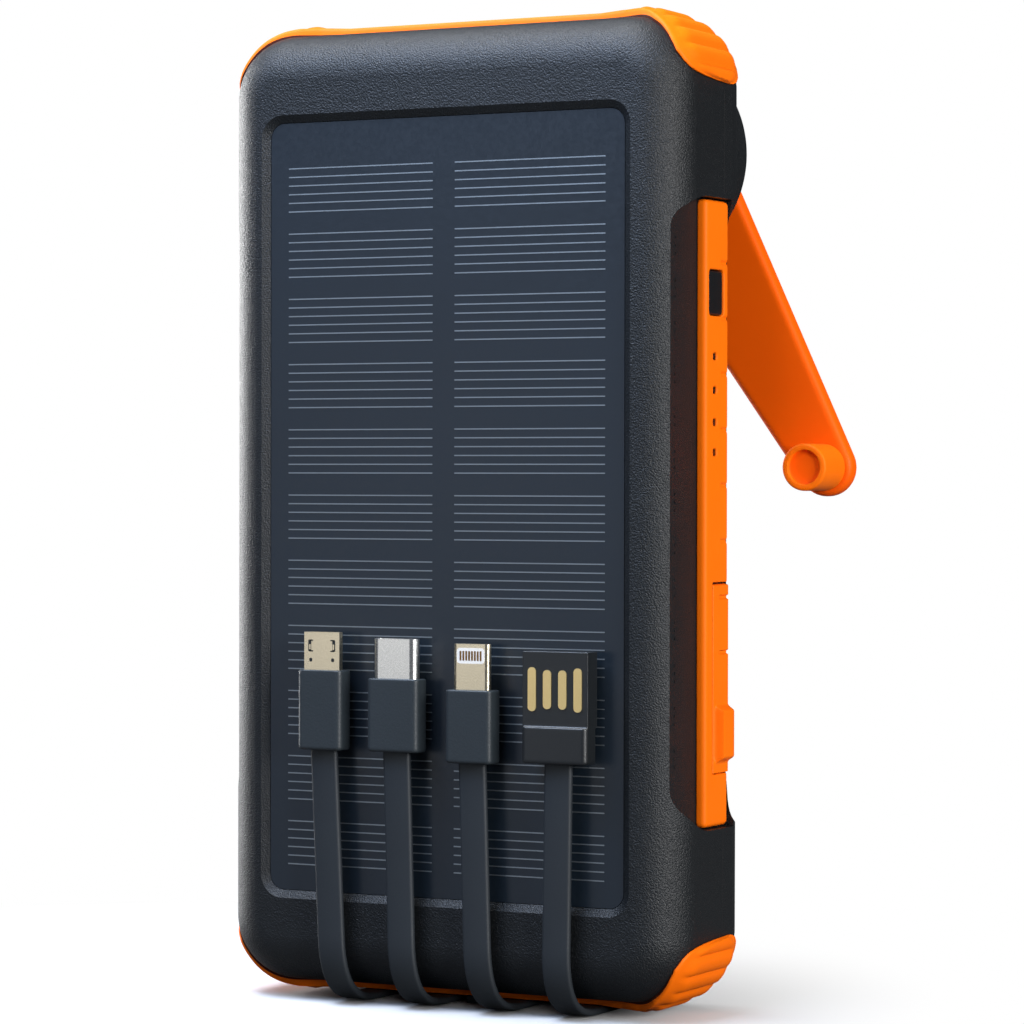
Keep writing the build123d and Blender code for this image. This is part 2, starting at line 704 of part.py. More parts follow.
save(compound(G1, HUB, G2, (7.6, 9.6), (9.6, 12.8)), "first_gear")
save(compound(G2, G1, G3, (4.8, 6.8), (6.8, 9.8)), "second_gear")

# ---------------------------------------------------------------- generator
with BuildPart() as generator_pinion:
    add(spur(PINION_TEETH, G3, bearing(G3, G2) + GAP, 4.5, 7.0, 1.0))
save(generator_pinion.part, "generator_pinion")

with BuildPart() as generator_rotor:
    with BuildSketch(xz(7.4, *G3)):
        Circle(1.0)
    extrude(amount=16.4)
    with BuildSketch(xz(0.6, *G3)):
        Circle(7.6)
    extrude(amount=7.6)
save(generator_rotor.part, "generator_rotor")

with BuildPart() as generator_can:
    with BuildSketch(xz(2.6, *G3)):
        Circle(10.3)
    extrude(amount=12.6)
    with BuildSketch(xz(1.6, *G3)):
        Circle(9.6)
    extrude(amount=10.6, mode=Mode.SUBTRACT)
    with BuildSketch(xz(3, *G3)):
        Circle(1.05)
    extrude(amount=14, mode=Mode.SUBTRACT)
save(generator_can.part, "generator_can")

with BuildPart() as generator_coils:
    with BuildSketch(xz(1.2, *G3)):
        Circle(9.6)
        Circle(8.0, mode=Mode.SUBTRACT)
    extrude(amount=8.8)
save(generator_coils.part, "generator_coils")

# ---------------------------------------------------------------- crank hub, arm and knob
ARM_U = (math.cos(math.radians(ARM_DIR)), math.sin(math.radians(ARM_DIR)))


def arm_plane(y):
    """Plane at the hub with local x along the arm, extrusion toward the body."""
    return Plane(origin=(HUB_X, y, HUB_Z), x_dir=(ARM_U[0], 0, ARM_U[1]), z_dir=(0, -1, 0))


with BuildPart() as crank_hub:
    with BuildSketch(arm_plane(24.0)):
        Circle(DISC_R)
    extrude(amount=2.1)
    fillet(crank_hub.faces().sort_by(Axis.Y)[-1].edges(), 0.6)
    # knuckle between the cheeks of the arm
    with BuildSketch(arm_plane(ARM_Y0 + ARM_T)):
        RectangleRounded(6.0, 8.0, 0.6)
    extrude(amount=ARM_Y0 + ARM_T - 23.5)
    with BuildSketch(arm_plane(23.2)):
        Circle(3.0)
    extrude(amount=3, mode=Mode.SUBTRACT)
    # cross hole for the fold pin
    with BuildSketch(Plane(origin=(HUB_X, HINGE_Y, HUB_Z), x_dir=(0, 1, 0), z_dir=(-ARM_U[1], 0, ARM_U[0]))):
        Circle(1.0)
    extrude(amount=6, both=True, mode=Mode.SUBTRACT)
save(crank_hub.part, "crank_hub")

with BuildPart() as fold_pin:
    with BuildSketch(Plane(origin=(HUB_X, HINGE_Y, HUB_Z), x_dir=(0, 1, 0), z_dir=(-ARM_U[1], 0, ARM_U[0]))):
        Circle(1.0)
    extrude(amount=9.5, both=True)
save(fold_pin.part, "fold_pin")

ARM_ROOT = 10.9        # half width of the arm at the hub
ARM_END_R = 4.95
ARM_TAPER = math.atan2(ARM_ROOT, ARM_LEN) - math.asin(ARM_END_R / math.hypot(ARM_ROOT, ARM_LEN))
TX = ARM_LEN + ARM_END_R * math.sin(ARM_TAPER)
TY = ARM_END_R * math.cos(ARM_TAPER)

with BuildPart() as crank_arm:
    with BuildSketch(arm_plane(ARM_Y0 + ARM_T)):
        with BuildLine():
            Polyline((TX, TY), (0, ARM_ROOT), (0, -ARM_ROOT), (TX, -TY))
            ThreePointArc((TX, -TY), (ARM_LEN + ARM_END_R, 0), (TX, TY))
        make_face()
    extrude(amount=ARM_T)
    for face in (crank_arm.faces().sort_by(Axis.Y)[0], crank_arm.faces().sort_by(Axis.Y)[-1]):
        rim = [e for e in face.edges() if (e.center() - Vector(HUB_X, e.center().Y, HUB_Z)).length > 5]
        fillet(rim, 1.1)
    # full round along the hinge line
    with BuildSketch(Plane(origin=(HUB_X, HINGE_Y, HUB_Z), x_dir=(0, 1, 0), z_dir=(-ARM_U[1], 0, ARM_U[0]))):
        Circle(ARM_T / 2)
    extrude(amount=10.9, both=True)
    # slot that clears the knuckle of the hub
    with BuildSketch(arm_plane(ARM_Y0 + ARM_T + 1)):
        with Locations((1.2, 0)):
            Rectangle(7.0, 8.4)
    extrude(amount=ARM_T + 2, mode=Mode.SUBTRACT)
    with BuildSketch(Plane(origin=(HUB_X, HINGE_Y, HUB_Z), x_dir=(0, 1, 0), z_dir=(-ARM_U[1], 0, ARM_U[0]))):
        Circle(1.05)
    extrude(amount=9.7, both=True, mode=Mode.SUBTRACT)
    with BuildSketch(xz(ARM_Y0 + 2.9, KNOB_X, KNOB_Z)):
        Circle(1.5)
    extrude(amount=5, mode=Mode.SUBTRACT)
save(crank_arm.part, "crank_arm")

with BuildPart() as knob_pin:
    with BuildSketch(xz(ARM_Y0 + 2.9, KNOB_X, KNOB_Z)):
        Circle(1.5)
    extrude(amount=7.4)
save(knob_pin.part, "knob_pin")

with BuildPart() as crank_knob:
    with BuildSketch(xz(ARM_Y0 - 0.2, KNOB_X, KNOB_Z)):
        Circle(KNOB_D / 2)
    extrude(amount=KNOB_L)
    fillet(crank_knob.faces().sort_by(Axis.Y)[0].edges(), 0.35)
    with BuildSketch(xz(ARM_Y0 - 0.2 - KNOB_L + 2.5, KNOB_X, KNOB_Z)):
        Circle(2.9)
    extrude(amount=4, mode=Mode.SUBTRACT)
    with BuildSketch(xz(ARM_Y0 + 1, KNOB_X, KNOB_Z)):
        Circle(1.55)
    extrude(amount=6.0, mode=Mode.SUBTRACT)
save(crank_knob.part, "crank_knob")

# ---------------------------------------------------------------- case screws
with BuildPart() as case_screws:
    for sx, sz in ((35.2, 24), (-35.2, 24), (35.2, 115), (-35.2, 115)):
        with BuildSketch(xz(14.2, sx, sz)):
            Circle(2.4)
        extrude(amount=2.2)
        with BuildSketch(xz(12.0, sx, sz)):
            Circle(1.2)
        extrude(amount=18)
save(case_screws.part, "case_screws")


# ---------------------------------------------------------------- captive leads
def lead_route(spec):
    plug_x, low_x, z = spec
    return [(low_x, LEAD_Y0, LEAD_Z), (low_x, LEAD_Y, LEAD_Z), (plug_x, LEAD_Y, z)]


def lead(spec, name):
    pts = lead_route(spec)
    run = min((Vector(*pts[1]) - Vector(*pts[0])).length, (Vector(*pts[2]) - Vector(*pts[1])).length)
    a = (Vector(*pts[0]) - Vector(*pts[1])).normalized()
    b = (Vector(*pts[2]) - Vector(*pts[1])).normalized()
    turn = math.pi - math.acos(a.dot(b))
    radius = 0.45 * run / math.tan(turn / 2)
    width = a.cross(b).normalized()
    with BuildPart() as made:
        with BuildLine() as path:
            FilletPolyline(*pts, radius=radius)
        with BuildSketch(Plane(origin=pts[0], x_dir=width, z_dir=(0, -1, 0))):
            RectangleRounded(LEAD_W, LEAD_T, 0.55)
        sweep(path=path.wires()[0])
    length = path.wires()[0].length
    print(name, "radius", round(radius, 2), "length", round(length, 1),
          "volume / (section x length)", round(made.part.volume / (length * (LEAD_W * LEAD_T - 0.26)), 3))
    save(made.part, name)
    return made.part


micro_lead = lead(MICRO, "micro_usb_lead")
type_c_lead = lead(TYPE_C, "type_c_lead")
tablet_lead = lead(TABLET, "tablet_lead")
type_a_lead = lead(TYPE_A, "type_a_lead")

# rubber bar behind the bottom band; its foot reaches forward between the two middle leads
with BuildPart() as strain_relief:
    with BuildSketch(xz(13.4, 1.85, (FLOOR_Z + 7.2) / 2)):
        Rectangle(56, 7.2 - FLOOR_Z)
    extrude(amount=4.6)
    with BuildSketch(Plane(origin=(1.4, 3.2, FLOOR_Z))):
        Rectangle(6.8, 11.2)
    extrude(amount=SHELL_Z0 - BAND_T - 0.05 - FLOOR_Z)
save(strain_relief.part, "strain_relief_bar")


# ---------------------------------------------------------------- plugs
def overmould(x, z0, width, height, thick, name):
    """Soft body of a plug; its back clears the panel and the lead enters its lower end."""
    with BuildPart() as made:
        with BuildSketch(Plane(origin=(x, LEAD_Y, z0))):
            RectangleRounded(width, thick, 0.9)
        extrude(amount=height)
        fillet(made.faces().sort_by(Axis.Z)[0].edges(), 0.5)
    save(made.part, name)
    return made.part


overmould(MICRO[0], MICRO[2], 8.4, 13.5, 4.1, "micro_usb_grip")
overmould(TYPE_C[0], TYPE_C[2], 9.6, 12.3, 4.1, "type_c_grip")
overmould(TABLET[0], TABLET[2], 8.6, 12.2, 4.1, "tablet_grip")

with BuildPart() as micro_usb_plug:
    with BuildSketch(Plane(origin=(MICRO[0], LEAD_Y, MICRO[2] + 13.5))):
        with BuildLine():
            Polyline((-3.42, -0.9), (3.42, -0.9), (3.42, 0.2), (2.7, 0.9), (-2.7, 0.9), (-3.42, 0.2), close=True)
        make_face()
    extrude(amount=6.4)
    with BuildSketch(Plane(origin=(MICRO[0], LEAD_Y, MICRO[2] + 13.5 + 1.5))):
        Rectangle(5.2, 1.0)
    extrude(amount=6, mode=Mode.SUBTRACT)
save(micro_usb_plug.part, "micro_usb_plug")

with BuildPart() as type_c_plug:
    with BuildSketch(Plane(origin=(TYPE_C[0], LEAD_Y, TYPE_C[2] + 12.3))):
        RectangleRounded(8.25, 2.4, 1.15)
    extrude(amount=6.65)
    with BuildSketch(Plane(origin=(TYPE_C[0], LEAD_Y, TYPE_C[2] + 12.3 + 1.2))):
        RectangleRounded(7.2, 1.5, 0.7)
    extrude(amount=6, mode=Mode.SUBTRACT)
save(type_c_plug.part, "type_c_plug")

with BuildPart() as tablet_plug:
    with BuildSketch(Plane(origin=(TABLET[0], LEAD_Y, TABLET[2] + 12.2))):
        RectangleRounded(6.7, 1.5, 0.7)
    extrude(amount=7.6)
save(tablet_plug.part, "tablet_plug")

with BuildPart() as type_a_plug:
    with BuildSketch(Plane(origin=(TYPE_A[0], LEAD_Y, TYPE_A[2]))):
        RectangleRounded(12.0, 4.2, 0.9)
    extrude(amount=6.0)
    fillet(type_a_plug.faces().sort_by(Axis.Z)[0].edges(), 0.5)
    with BuildSketch(Plane(origin=(TYPE_A[0], LEAD_Y + 0.35, TYPE_A[2] + 6.0))):
        Rectangle(12.0, 3.5)
    extrude(amount=12.4)
save(type_a_plug.part, "type_a_plug")

with BuildPart() as type_a_contacts:
    with BuildSketch(xz(LEAD_Y + 0.35 - 1.75, TYPE_A[0], TYPE_A[2] + 12.2)):
        with Locations((-4.2, 0), (4.2, 0)):
            RectangleRounded(1.5, 7.2, 0.7)
        with Locations((-1.4, 0), (1.4, 0)):
            RectangleRounded(1.5, 6.4, 0.7)
    extrude(amount=0.15)
save(type_a_contacts.part, "type_a_contacts")
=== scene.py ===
# %% [markdown]
# # Hand crank and solar phone charger
# The charger stands upright: a black body with a solar face, orange corner bumpers, four flat
# charging leads and a folding crank behind it. The solids come from CAD as a fixed frame, so this
# lesson adds what CAD leaves plain: the finish of every surface, the soft leads and the small parts.

# %% Load the frame
import json
import math

import bmesh
import bpy
from mathutils import Matrix, Vector


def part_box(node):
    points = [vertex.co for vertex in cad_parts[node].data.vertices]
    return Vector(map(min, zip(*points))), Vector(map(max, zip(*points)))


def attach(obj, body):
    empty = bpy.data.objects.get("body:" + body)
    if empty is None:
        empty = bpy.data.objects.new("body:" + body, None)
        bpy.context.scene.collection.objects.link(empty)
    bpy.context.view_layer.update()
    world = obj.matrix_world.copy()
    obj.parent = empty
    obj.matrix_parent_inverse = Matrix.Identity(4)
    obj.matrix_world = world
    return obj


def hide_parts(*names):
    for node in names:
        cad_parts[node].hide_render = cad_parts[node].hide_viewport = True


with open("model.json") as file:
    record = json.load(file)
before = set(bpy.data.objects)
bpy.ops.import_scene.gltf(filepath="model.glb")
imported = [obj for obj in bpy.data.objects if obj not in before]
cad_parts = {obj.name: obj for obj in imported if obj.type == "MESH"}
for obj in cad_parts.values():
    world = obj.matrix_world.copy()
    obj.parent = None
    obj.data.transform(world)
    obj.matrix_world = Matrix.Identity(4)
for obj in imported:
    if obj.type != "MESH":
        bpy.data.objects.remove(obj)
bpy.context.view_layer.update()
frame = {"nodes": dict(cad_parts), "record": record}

scene = bpy.context.scene
scene.view_settings.view_transform = "Standard"
NODES = frame["nodes"]
BODY_OF = {node: body for body, nodes in frame["record"]["behaviour"]["bodies"].items()
           for node in nodes}
SLOT_OF = {row["node"]: row["material_slot"] for row in frame["record"]["subparts"]}
MM = 0.001

# %% [markdown]
# The camera stands to the right of the solar face, about half way up the charger, and looks almost
# level. A long lens keeps the sides nearly parallel, as in a catalogue photograph. The lens could be
# shifted to match how the upright edges draw together, but then no other view would be centred.

# %% Camera
VIEW_FROM = Vector((305.74, -571.84, 89.55)) * MM
VIEW_ALONG = Vector((-0.46474, 0.88538, -0.0091))
ROLL = Matrix.Rotation(math.radians(0.1), 3, "Z").to_quaternion()
LENS_MM, SENSOR_MM, NEAREST = 133.65, 36.0, 0.01
camera_data = bpy.data.cameras.new("studio_camera")
camera_data.lens = LENS_MM
camera_data.sensor_width = SENSOR_MM
camera_data.clip_start = NEAREST
camera = bpy.data.objects.new("studio_camera", camera_data)
scene.collection.objects.link(camera)
camera.rotation_mode = "QUATERNION"
camera.rotation_quaternion = VIEW_ALONG.to_track_quat("-Z", "Y") @ ROLL
camera.location = VIEW_FROM
scene.camera = camera
print("camera", [round(v, 3) for v in camera.location])

# %% [markdown]
# Most pieces of this lesson are skins: outlines stacked one on the other and joined with quads.
# They could be built with modifiers, but a mesh that a function fills keeps every measure in sight.
# Each new piece rides on the CAD body that it belongs to, so it moves with the joints.

# %% Helpers for meshes
SHARP_ANGLE = math.radians(40)


def in_mm(points):
    """Points written in millimetres, as vectors in metres."""
    return [Vector(p) * MM for p in points]


def piece_from(name, build, body, smooth=True):
    """Make an object from a bmesh that the function build fills, and let it ride on a CAD body."""
    bm = bmesh.new()
    build(bm)
    bmesh.ops.recalc_face_normals(bm, faces=bm.faces)
    mesh = bpy.data.meshes.new(name)
    bm.to_mesh(mesh)
    bm.free()
    if smooth:
        mesh.polygons.foreach_set("use_smooth", [True] * len(mesh.polygons))
        mesh.set_sharp_from_angle(angle=SHARP_ANGLE)
    obj = bpy.data.objects.new(name, mesh)
    scene.collection.objects.link(obj)
    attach(obj, body)
    return obj


def skin(bm, rings, closed_ends=True):
    """Join rings of points, each with as many points as the next, with quads."""
    made = [[bm.verts.new(p) for p in ring] for ring in rings]
    count = len(rings[0])
    for low, high in zip(made, made[1:]):
        for i in range(count):
            j = (i + 1) % count
            bm.faces.new((low[i], low[j], high[j], high[i]))
    if closed_ends:
        bm.faces.new(list(reversed(made[0])))
        bm.faces.new(made[-1])


def rounded_outline(width, height, radius, steps=3):
    """Points of a rounded rectangle, anticlockwise, about its middle."""
    points = []
    for k, (sx, sy) in enumerate(((1, 1), (-1, 1), (-1, -1), (1, -1))):
        for i in range(steps + 1):
            a = math.radians(90 * (k + i / steps))
            points.append((sx * (width / 2 - radius) + radius * math.cos(a),
                           sy * (height / 2 - radius) + radius * math.sin(a)))
    return points


print("a rounded outline has", len(rounded_outline(2, 1, 0.2)), "points")

# %% [markdown]
# A charging lead comes out of a rubber bar under the body, turns up round the bottom edge and runs
# up the solar face to its plug. The route could be straight parts joined by arcs, but those kink where
# they meet. Five guide points shape it instead: at the bar, under the body, out in front of the bottom
# edge, part of the way up, and at the plug. A NURBS curve that they pull on bends evenly.

# %% Routes of the leads
LEAD_W, LEAD_T, LEAD_ROUND = 5.0, 1.2, 0.5
LEAD_Z, LEAD_BACK, LEAD_UNDER, LEAD_FRONT, PART_WAY_UP = 0.75, 8.8, 4.4, -17.35, 22.0
LEADS = {
    "micro_usb": dict(plug_x=-21.1, low_x=-19.2, top=43.45, length=63.8,
                      pieces=["micro_usb_grip", "micro_usb_plug"]),
    "type_c": dict(plug_x=-7.0, low_x=-5.8, top=43.55, length=63.9,
                   pieces=["type_c_grip", "type_c_plug"]),
    "tablet": dict(plug_x=7.4, low_x=8.6, top=42.15, length=62.5,
                   pieces=["tablet_grip", "tablet_plug"]),
    "type_a": dict(plug_x=23.4, low_x=22.9, top=42.65, length=63.0,
                   pieces=["type_a_plug", "type_a_contacts"]),
}


def lead_cage(spec):
    """The five guide points of a lead."""
    low, up = spec["low_x"], spec["plug_x"]
    share = PART_WAY_UP / (spec["top"] - LEAD_Z)
    return in_mm([(low, LEAD_BACK, LEAD_Z), (low, LEAD_UNDER, LEAD_Z), (low, LEAD_FRONT, LEAD_Z),
                  (low + (up - low) * share, LEAD_FRONT, LEAD_Z + PART_WAY_UP),
                  (up, LEAD_FRONT, spec["top"])])


def smooth_line(cage):
    """The middle line of a NURBS curve with these guide points."""
    curve = bpy.data.curves.new("route", "CURVE")
    curve.dimensions = "3D"
    curve.resolution_u = 12
    spline = curve.splines.new("NURBS")
    spline.points.add(len(cage) - 1)
    for point, place in zip(spline.points, cage):
        point.co = (*place, 1.0)
    spline.order_u = 3
    spline.use_endpoint_u = True
    obj = bpy.data.objects.new("route", curve)
    scene.collection.objects.link(obj)
    bpy.context.view_layer.update()
    mesh = bpy.data.meshes.new_from_object(obj.evaluated_get(bpy.context.evaluated_depsgraph_get()))
    line = [v.co.copy() for v in mesh.vertices]
    bpy.data.objects.remove(obj)
    bpy.data.meshes.remove(mesh)
    return line


print("points on a route:", len(smooth_line(lead_cage(LEADS["type_c"]))))

# %% [markdown]
# The lead itself is a flat rubber ribbon. A curve with a round bevel would make it a tube, so the
# curve gives only the middle line, and a flat section with rounded edges is carried along it.

# %% Leads
def flat_lead(name, spec):
    """A lead that stands in for its CAD node, with its flat side along the route."""
    line = smooth_line(lead_cage(spec))
    outline = rounded_outline(LEAD_W, LEAD_T, LEAD_ROUND)

    def build(bm):
        rings = []
        for i, place in enumerate(line):
            ahead = (line[min(i + 1, len(line) - 1)] - line[max(i - 1, 0)]).normalized()
            side = Vector((1, 0, 0)) - ahead * ahead.x
            side.normalize()
            out = ahead.cross(side)
            rings.append([place + side * (u * MM) + out * (v * MM) for u, v in outline])
        skin(bm, rings)
    obj = piece_from(name + "_flat_lead", build, "body")
    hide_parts(name + "_lead")
    total = sum((b - a).length for a, b in zip(line, line[1:]))
    print(name, "lead length", round(total / MM, 1), "mm in", len(line), "points")
    return obj


LEAD_PIECES = [flat_lead(name, spec) for name, spec in LEADS.items()]

# %% [markdown]
# Colours are written as hex codes, the way a picture shows them, but shaders add up light and want
# linear values, so one function turns them. A second one adds any node with its settings and links.
# Nodes could be wired one by one, but then a finish would take a page instead of a few lines.

# %% Colour and nodes
def linear(code, alpha=1.0):
    """sRGB hex colour as linear values for a shader."""
    parts = [int(code[i:i + 2], 16) / 255 for i in (1, 3, 5)]
    return tuple(p / 12.92 if p <= 0.04045 else ((p + 0.055) / 1.055) ** 2.4 for p in parts) + (alpha,)


def put(tree, kind, links=None, **settings):
    """Add a node, set its properties and fill its sockets with values or with other sockets."""
    made = tree.nodes.new(kind)
    for key, value in settings.items():
        setattr(made, key, value)
    for key, value in (links or {}).items():
        socket = made.inputs[key]
        if isinstance(value, bpy.types.NodeSocket):
            tree.links.new(value, socket)
        else:
            socket.default_value = value
    return made


print("hex #808080 is", round(linear("#808080")[0], 3), "in linear light")

# %% [markdown]
# A catalogue photograph stands on white paper that runs off into plain white. A floor that glows all
# over would lose the shadow, so the paper near the charger is lit like any other surface, and further
# out it fades into a white that only the camera sees. Light that bounces meets grey paper, so the
# body isn't lit from below.

# %% Floor
SHADOW_MIDDLE, SHADOW_NEAR, SHADOW_FAR = (-0.055, -0.01, 0.0), 0.075, 0.135
PAPER_HALF = 3.0


def white_paper():
    made = bpy.data.materials.new("white_paper")
    made.use_nodes = True
    tree = made.node_tree
    tree.nodes.clear()
    where = put(tree, "ShaderNodeTexCoord").outputs["Object"]
    away = put(tree, "ShaderNodeVectorMath", {0: where, 1: SHADOW_MIDDLE}, operation="DISTANCE")
    far = put(tree, "ShaderNodeMapRange", {0: away.outputs["Value"], 1: SHADOW_NEAR, 2: SHADOW_FAR},
              interpolation_type="SMOOTHSTEP")
    lit = put(tree, "ShaderNodeBsdfDiffuse", {"Color": linear("#cecece")})
    glow = put(tree, "ShaderNodeEmission", {"Color": linear("#ffffff"), "Strength": 1.0})
    seen = put(tree, "ShaderNodeMixShader", {0: far.outputs[0], 1: lit.outputs[0], 2: glow.outputs[0]})
    bounce = put(tree, "ShaderNodeBsdfDiffuse", {"Color": linear("#5a5a5a")})
    rays = put(tree, "ShaderNodeLightPath")
    both = put(tree, "ShaderNodeMixShader", {0: rays.outputs["Is Camera Ray"], 1: bounce.outputs[0],
                                             2: seen.outputs[0]})
    put(tree, "ShaderNodeOutputMaterial", {"Surface": both.outputs[0]})
    return made


def studio_floor():
    bm = bmesh.new()
    corners = ((-1, -1), (1, -1), (1, 1), (-1, 1))
    bm.faces.new([bm.verts.new((x * PAPER_HALF, y * PAPER_HALF, 0.0)) for x, y in corners])
    mesh = bpy.data.meshes.new("studio_floor")
    bm.to_mesh(mesh)
    bm.free()
    obj = bpy.data.objects.new("studio_floor", mesh)
    scene.collection.objects.link(obj)
    obj.data.materials.append(white_paper())
    print("floor", 2 * PAPER_HALF, "m wide")


studio_floor()

# %% [markdown]
# The lamps are soft boxes, as in a studio: a key from the right that lights the rails and the crank
# arm, smaller ones that draw the edge over the solar face, and a rim light from the left. One strong
# lamp would be simpler, but black plastic shows its form only where it mirrors a broad pale shape.
# They stay low enough for the colours to come out as they are written.

# %% Lamps
LAMPS = (  # name, place, what it points at, width, height, watts, tint
    ("right_key", (1.0, -0.28, 0.32), (0, 0, 0.085), 0.3, 0.45, 7.5, "#ffffff"),
    ("front_right_fill", (0.84, -0.48, 0.26), (0.01, 0, 0.085), 0.14, 0.3, 4.6, "#ffffff"),
    ("top_box", (-0.2, -0.1, 0.88), (0, 0, 0), 0.5, 0.4, 8.0, "#ffffff"),
    ("high_left_box", (-0.17, -0.35, 0.47), (0, -0.015, 0.15), 0.42, 0.2, 1.6, "#cfe1ff"),
    ("high_strip", (-0.06, -0.15, 0.33), (0, -0.015, 0.155), 0.24, 0.06, 0.95, "#c4dbff"),
    ("front_card", (-0.376, -0.72, 0.07), (0, -0.017, 0.05), 0.22, 0.2, 0.22, "#ffffff"),
    ("left_rim", (-0.62, 0.16, 0.16), (-0.04, 0, 0.09), 0.3, 0.36, 5.0, "#ffffff"),
)


def soft_box(name, place, aim, width, height, power, tint):
    data = bpy.data.lights.new(name, "AREA")
    data.shape = "RECTANGLE"
    data.size, data.size_y = width, height
    data.energy = power
    data.color = linear(tint)[:3]
    lamp = bpy.data.objects.new(name, data)
    lamp.location = place
    lamp.rotation_euler = (Vector(aim) - Vector(place)).to_track_quat("-Z", "Y").to_euler()
    lamp.visible_camera = False
    scene.collection.objects.link(lamp)


for lamp_row in LAMPS:
    soft_box(*lamp_row)
print("lamps", [row[0] for row in LAMPS])

# %% [markdown]
# Behind the paper there is nothing, so the world is plain white to the camera. For all other rays it
# is a faint cool grey, the light that the walls of a studio give back. A full white world would be
# quicker to set, but it would light the object from everywhere and wash out its form.

# %% World
AIR_LIGHT = 0.06


def studio_air():
    world = bpy.data.worlds.new("studio_air")
    scene.world = world
    world.use_nodes = True
    tree = world.node_tree
    tree.nodes.clear()
    rays = put(tree, "ShaderNodeLightPath")
    white = put(tree, "ShaderNodeBackground", {"Color": linear("#ffffff"), "Strength": 1.0})
    dim = put(tree, "ShaderNodeBackground", {"Color": linear("#eef2ff"), "Strength": AIR_LIGHT})
    mixed = put(tree, "ShaderNodeMixShader", {0: rays.outputs["Is Camera Ray"], 1: dim.outputs[0],
                                              2: white.outputs[0]})
    put(tree, "ShaderNodeOutputWorld", {"Surface": mixed.outputs[0]})
    print("world light", AIR_LIGHT)


studio_air()

# %% [markdown]
# Moulded plastic copies the wall of its tool. A polished tool gives an even satin, and one that was
# eroded with sparks gives a fine leather grain. The grain could be displaced geometry, but that is
# millions of faces, so a bump from noise does it, and the same noise makes the gloss uneven. Two close
# colours that change over patches of 14 mm keep a large face from looking flat.

# %% Moulded plastic
PATCH_MM = 14


def moulded(name, colour, drift, roughness, spread, ior, grain_mm, grain_depth_mm, specular=0.5):
    """A moulded plastic or rubber: two close colours, uneven gloss and a surface grain."""
    made = bpy.data.materials.new(name)
    made.use_nodes = True
    tree = made.node_tree
    shader = tree.nodes["Principled BSDF"]
    shader.inputs["Metallic"].default_value = 0.0
    shader.inputs["IOR"].default_value = ior
    shader.inputs["Specular IOR Level"].default_value = specular
    where = put(tree, "ShaderNodeTexCoord").outputs["Object"]
    cloud = put(tree, "ShaderNodeTexNoise", {"Vector": where, "Scale": 1 / (PATCH_MM * MM), "Detail": 3.0})
    hue = put(tree, "ShaderNodeMix", {0: cloud.outputs["Fac"], 6: linear(colour), 7: linear(drift)},
              data_type="RGBA")
    tree.links.new(hue.outputs[2], shader.inputs["Base Color"])
    grain = put(tree, "ShaderNodeTexNoise", {"Vector": where, "Scale": 1 / (grain_mm * MM), "Detail": 2.0})
    height = grain.outputs["Fac"]
    bump = put(tree, "ShaderNodeBump", {"Height": height, "Strength": 1.0,
                                        "Distance": grain_depth_mm * MM})
    tree.links.new(bump.outputs[0], shader.inputs["Normal"])
    gloss = put(tree, "ShaderNodeMapRange", {0: height, 1: 0.2, 2: 0.8, 3: roughness - spread,
                                             4: roughness + spread})
    tree.links.new(gloss.outputs[0], shader.inputs["Roughness"])
    return made


# %% [markdown]
# The plastics and rubbers, each named for what it is and how it was made. The numbers after the two
# colours are roughness and how far it varies, IOR, grain width and grain depth in millimetres, and
# where it is needed how strongly the surface reflects. One plastic for all would be quicker, but the
# eye tells rubber from hard plastic by its gloss. The oranges reflect weakly, because a white sheen
# would make them look pale.

# %% Plastics and rubbers
# shell: spark eroded tool, a leather grain that breaks up the highlights
ABS_SHELL = moulded("abs_spark_textured_black", "#0e1215", "#090c0f", 0.5, 0.12, 1.53, 0.27, 0.17, 0.42)
# button and crank disc: a smooth satin
ABS_BLACK = moulded("abs_satin_black", "#121416", "#0c0e10", 0.34, 0.05, 1.53, 0.5, 0.012)
# bumpers, rails and port cover: soft rubber with a broad, weak gloss
TPU_ORANGE = moulded("tpu_moulded_orange", "#fd7604", "#f86c00", 0.55, 0.05, 1.5, 0.35, 0.012, 0.16)
# painted shade: a darker copy of the same rubber for the foot of the border, in the shadow of its joint
TPU_PAINTED_JOINT_SHADE = moulded("tpu_orange_painted_joint_shade", "#4a1705", "#3a1204", 0.7, 0.05, 1.5, 0.35, 0.01, 0.2)
# crank arm: stiff nylon, redder than the rubber; part of that red is painted shade, the look of its shaded
# face
NYLON_ORANGE = moulded("nylon_moulded_orange", "#ff6400", "#f85a00", 0.5, 0.05, 1.53, 0.4, 0.01, 0.14)
# leads and the moulded grips on them: dull elastomer in two shades of slate
TPE_LEAD = moulded("tpe_extruded_black", "#20262b", "#1b2025", 0.6, 0.06, 1.5, 0.3, 0.012)
TPE_GRIP = moulded("tpe_overmould_slate", "#272e33", "#21282c", 0.5, 0.06, 1.5, 0.35, 0.03)
# inside the plugs: liquid crystal polymer, smooth and even
LCP_BLACK = moulded("lcp_moulded_black", "#15191c", "#101315", 0.4, 0.05, 1.6, 0.3, 0.012)
LCP_WHITE = moulded("lcp_moulded_white", "#efeae2", "#e6e0d6", 0.4, 0.05, 1.6, 0.3, 0.01)
# light pipes: smoked, so that they look like dark dots while the lights are off
SMOKED_PC = moulded("smoked_polycarbonate", "#14100d", "#0e0b09", 0.2, 0.04, 1.585, 0.4, 0.005)
# gears: acetal, waxy and pale
POM_IVORY = moulded("pom_moulded_ivory", "#ded9c8", "#d3cdb9", 0.35, 0.05, 1.48, 0.6, 0.01)
# chips and the board that carries them; the chip black also paints shade in the shell seams and screw
# recesses
BLACK_EPOXY_ALSO_PAINTED_SHADE = moulded("epoxy_black_also_painted_shade", "#1c1c1d", "#141414", 0.6, 0.06, 1.55, 0.3, 0.01)
BOARD_GREEN = moulded("solder_mask_on_glass_epoxy", "#1d5a34", "#17492a", 0.3, 0.05, 1.5, 1.2, 0.01)
print("plastics done, materials so far:", len(bpy.data.materials))

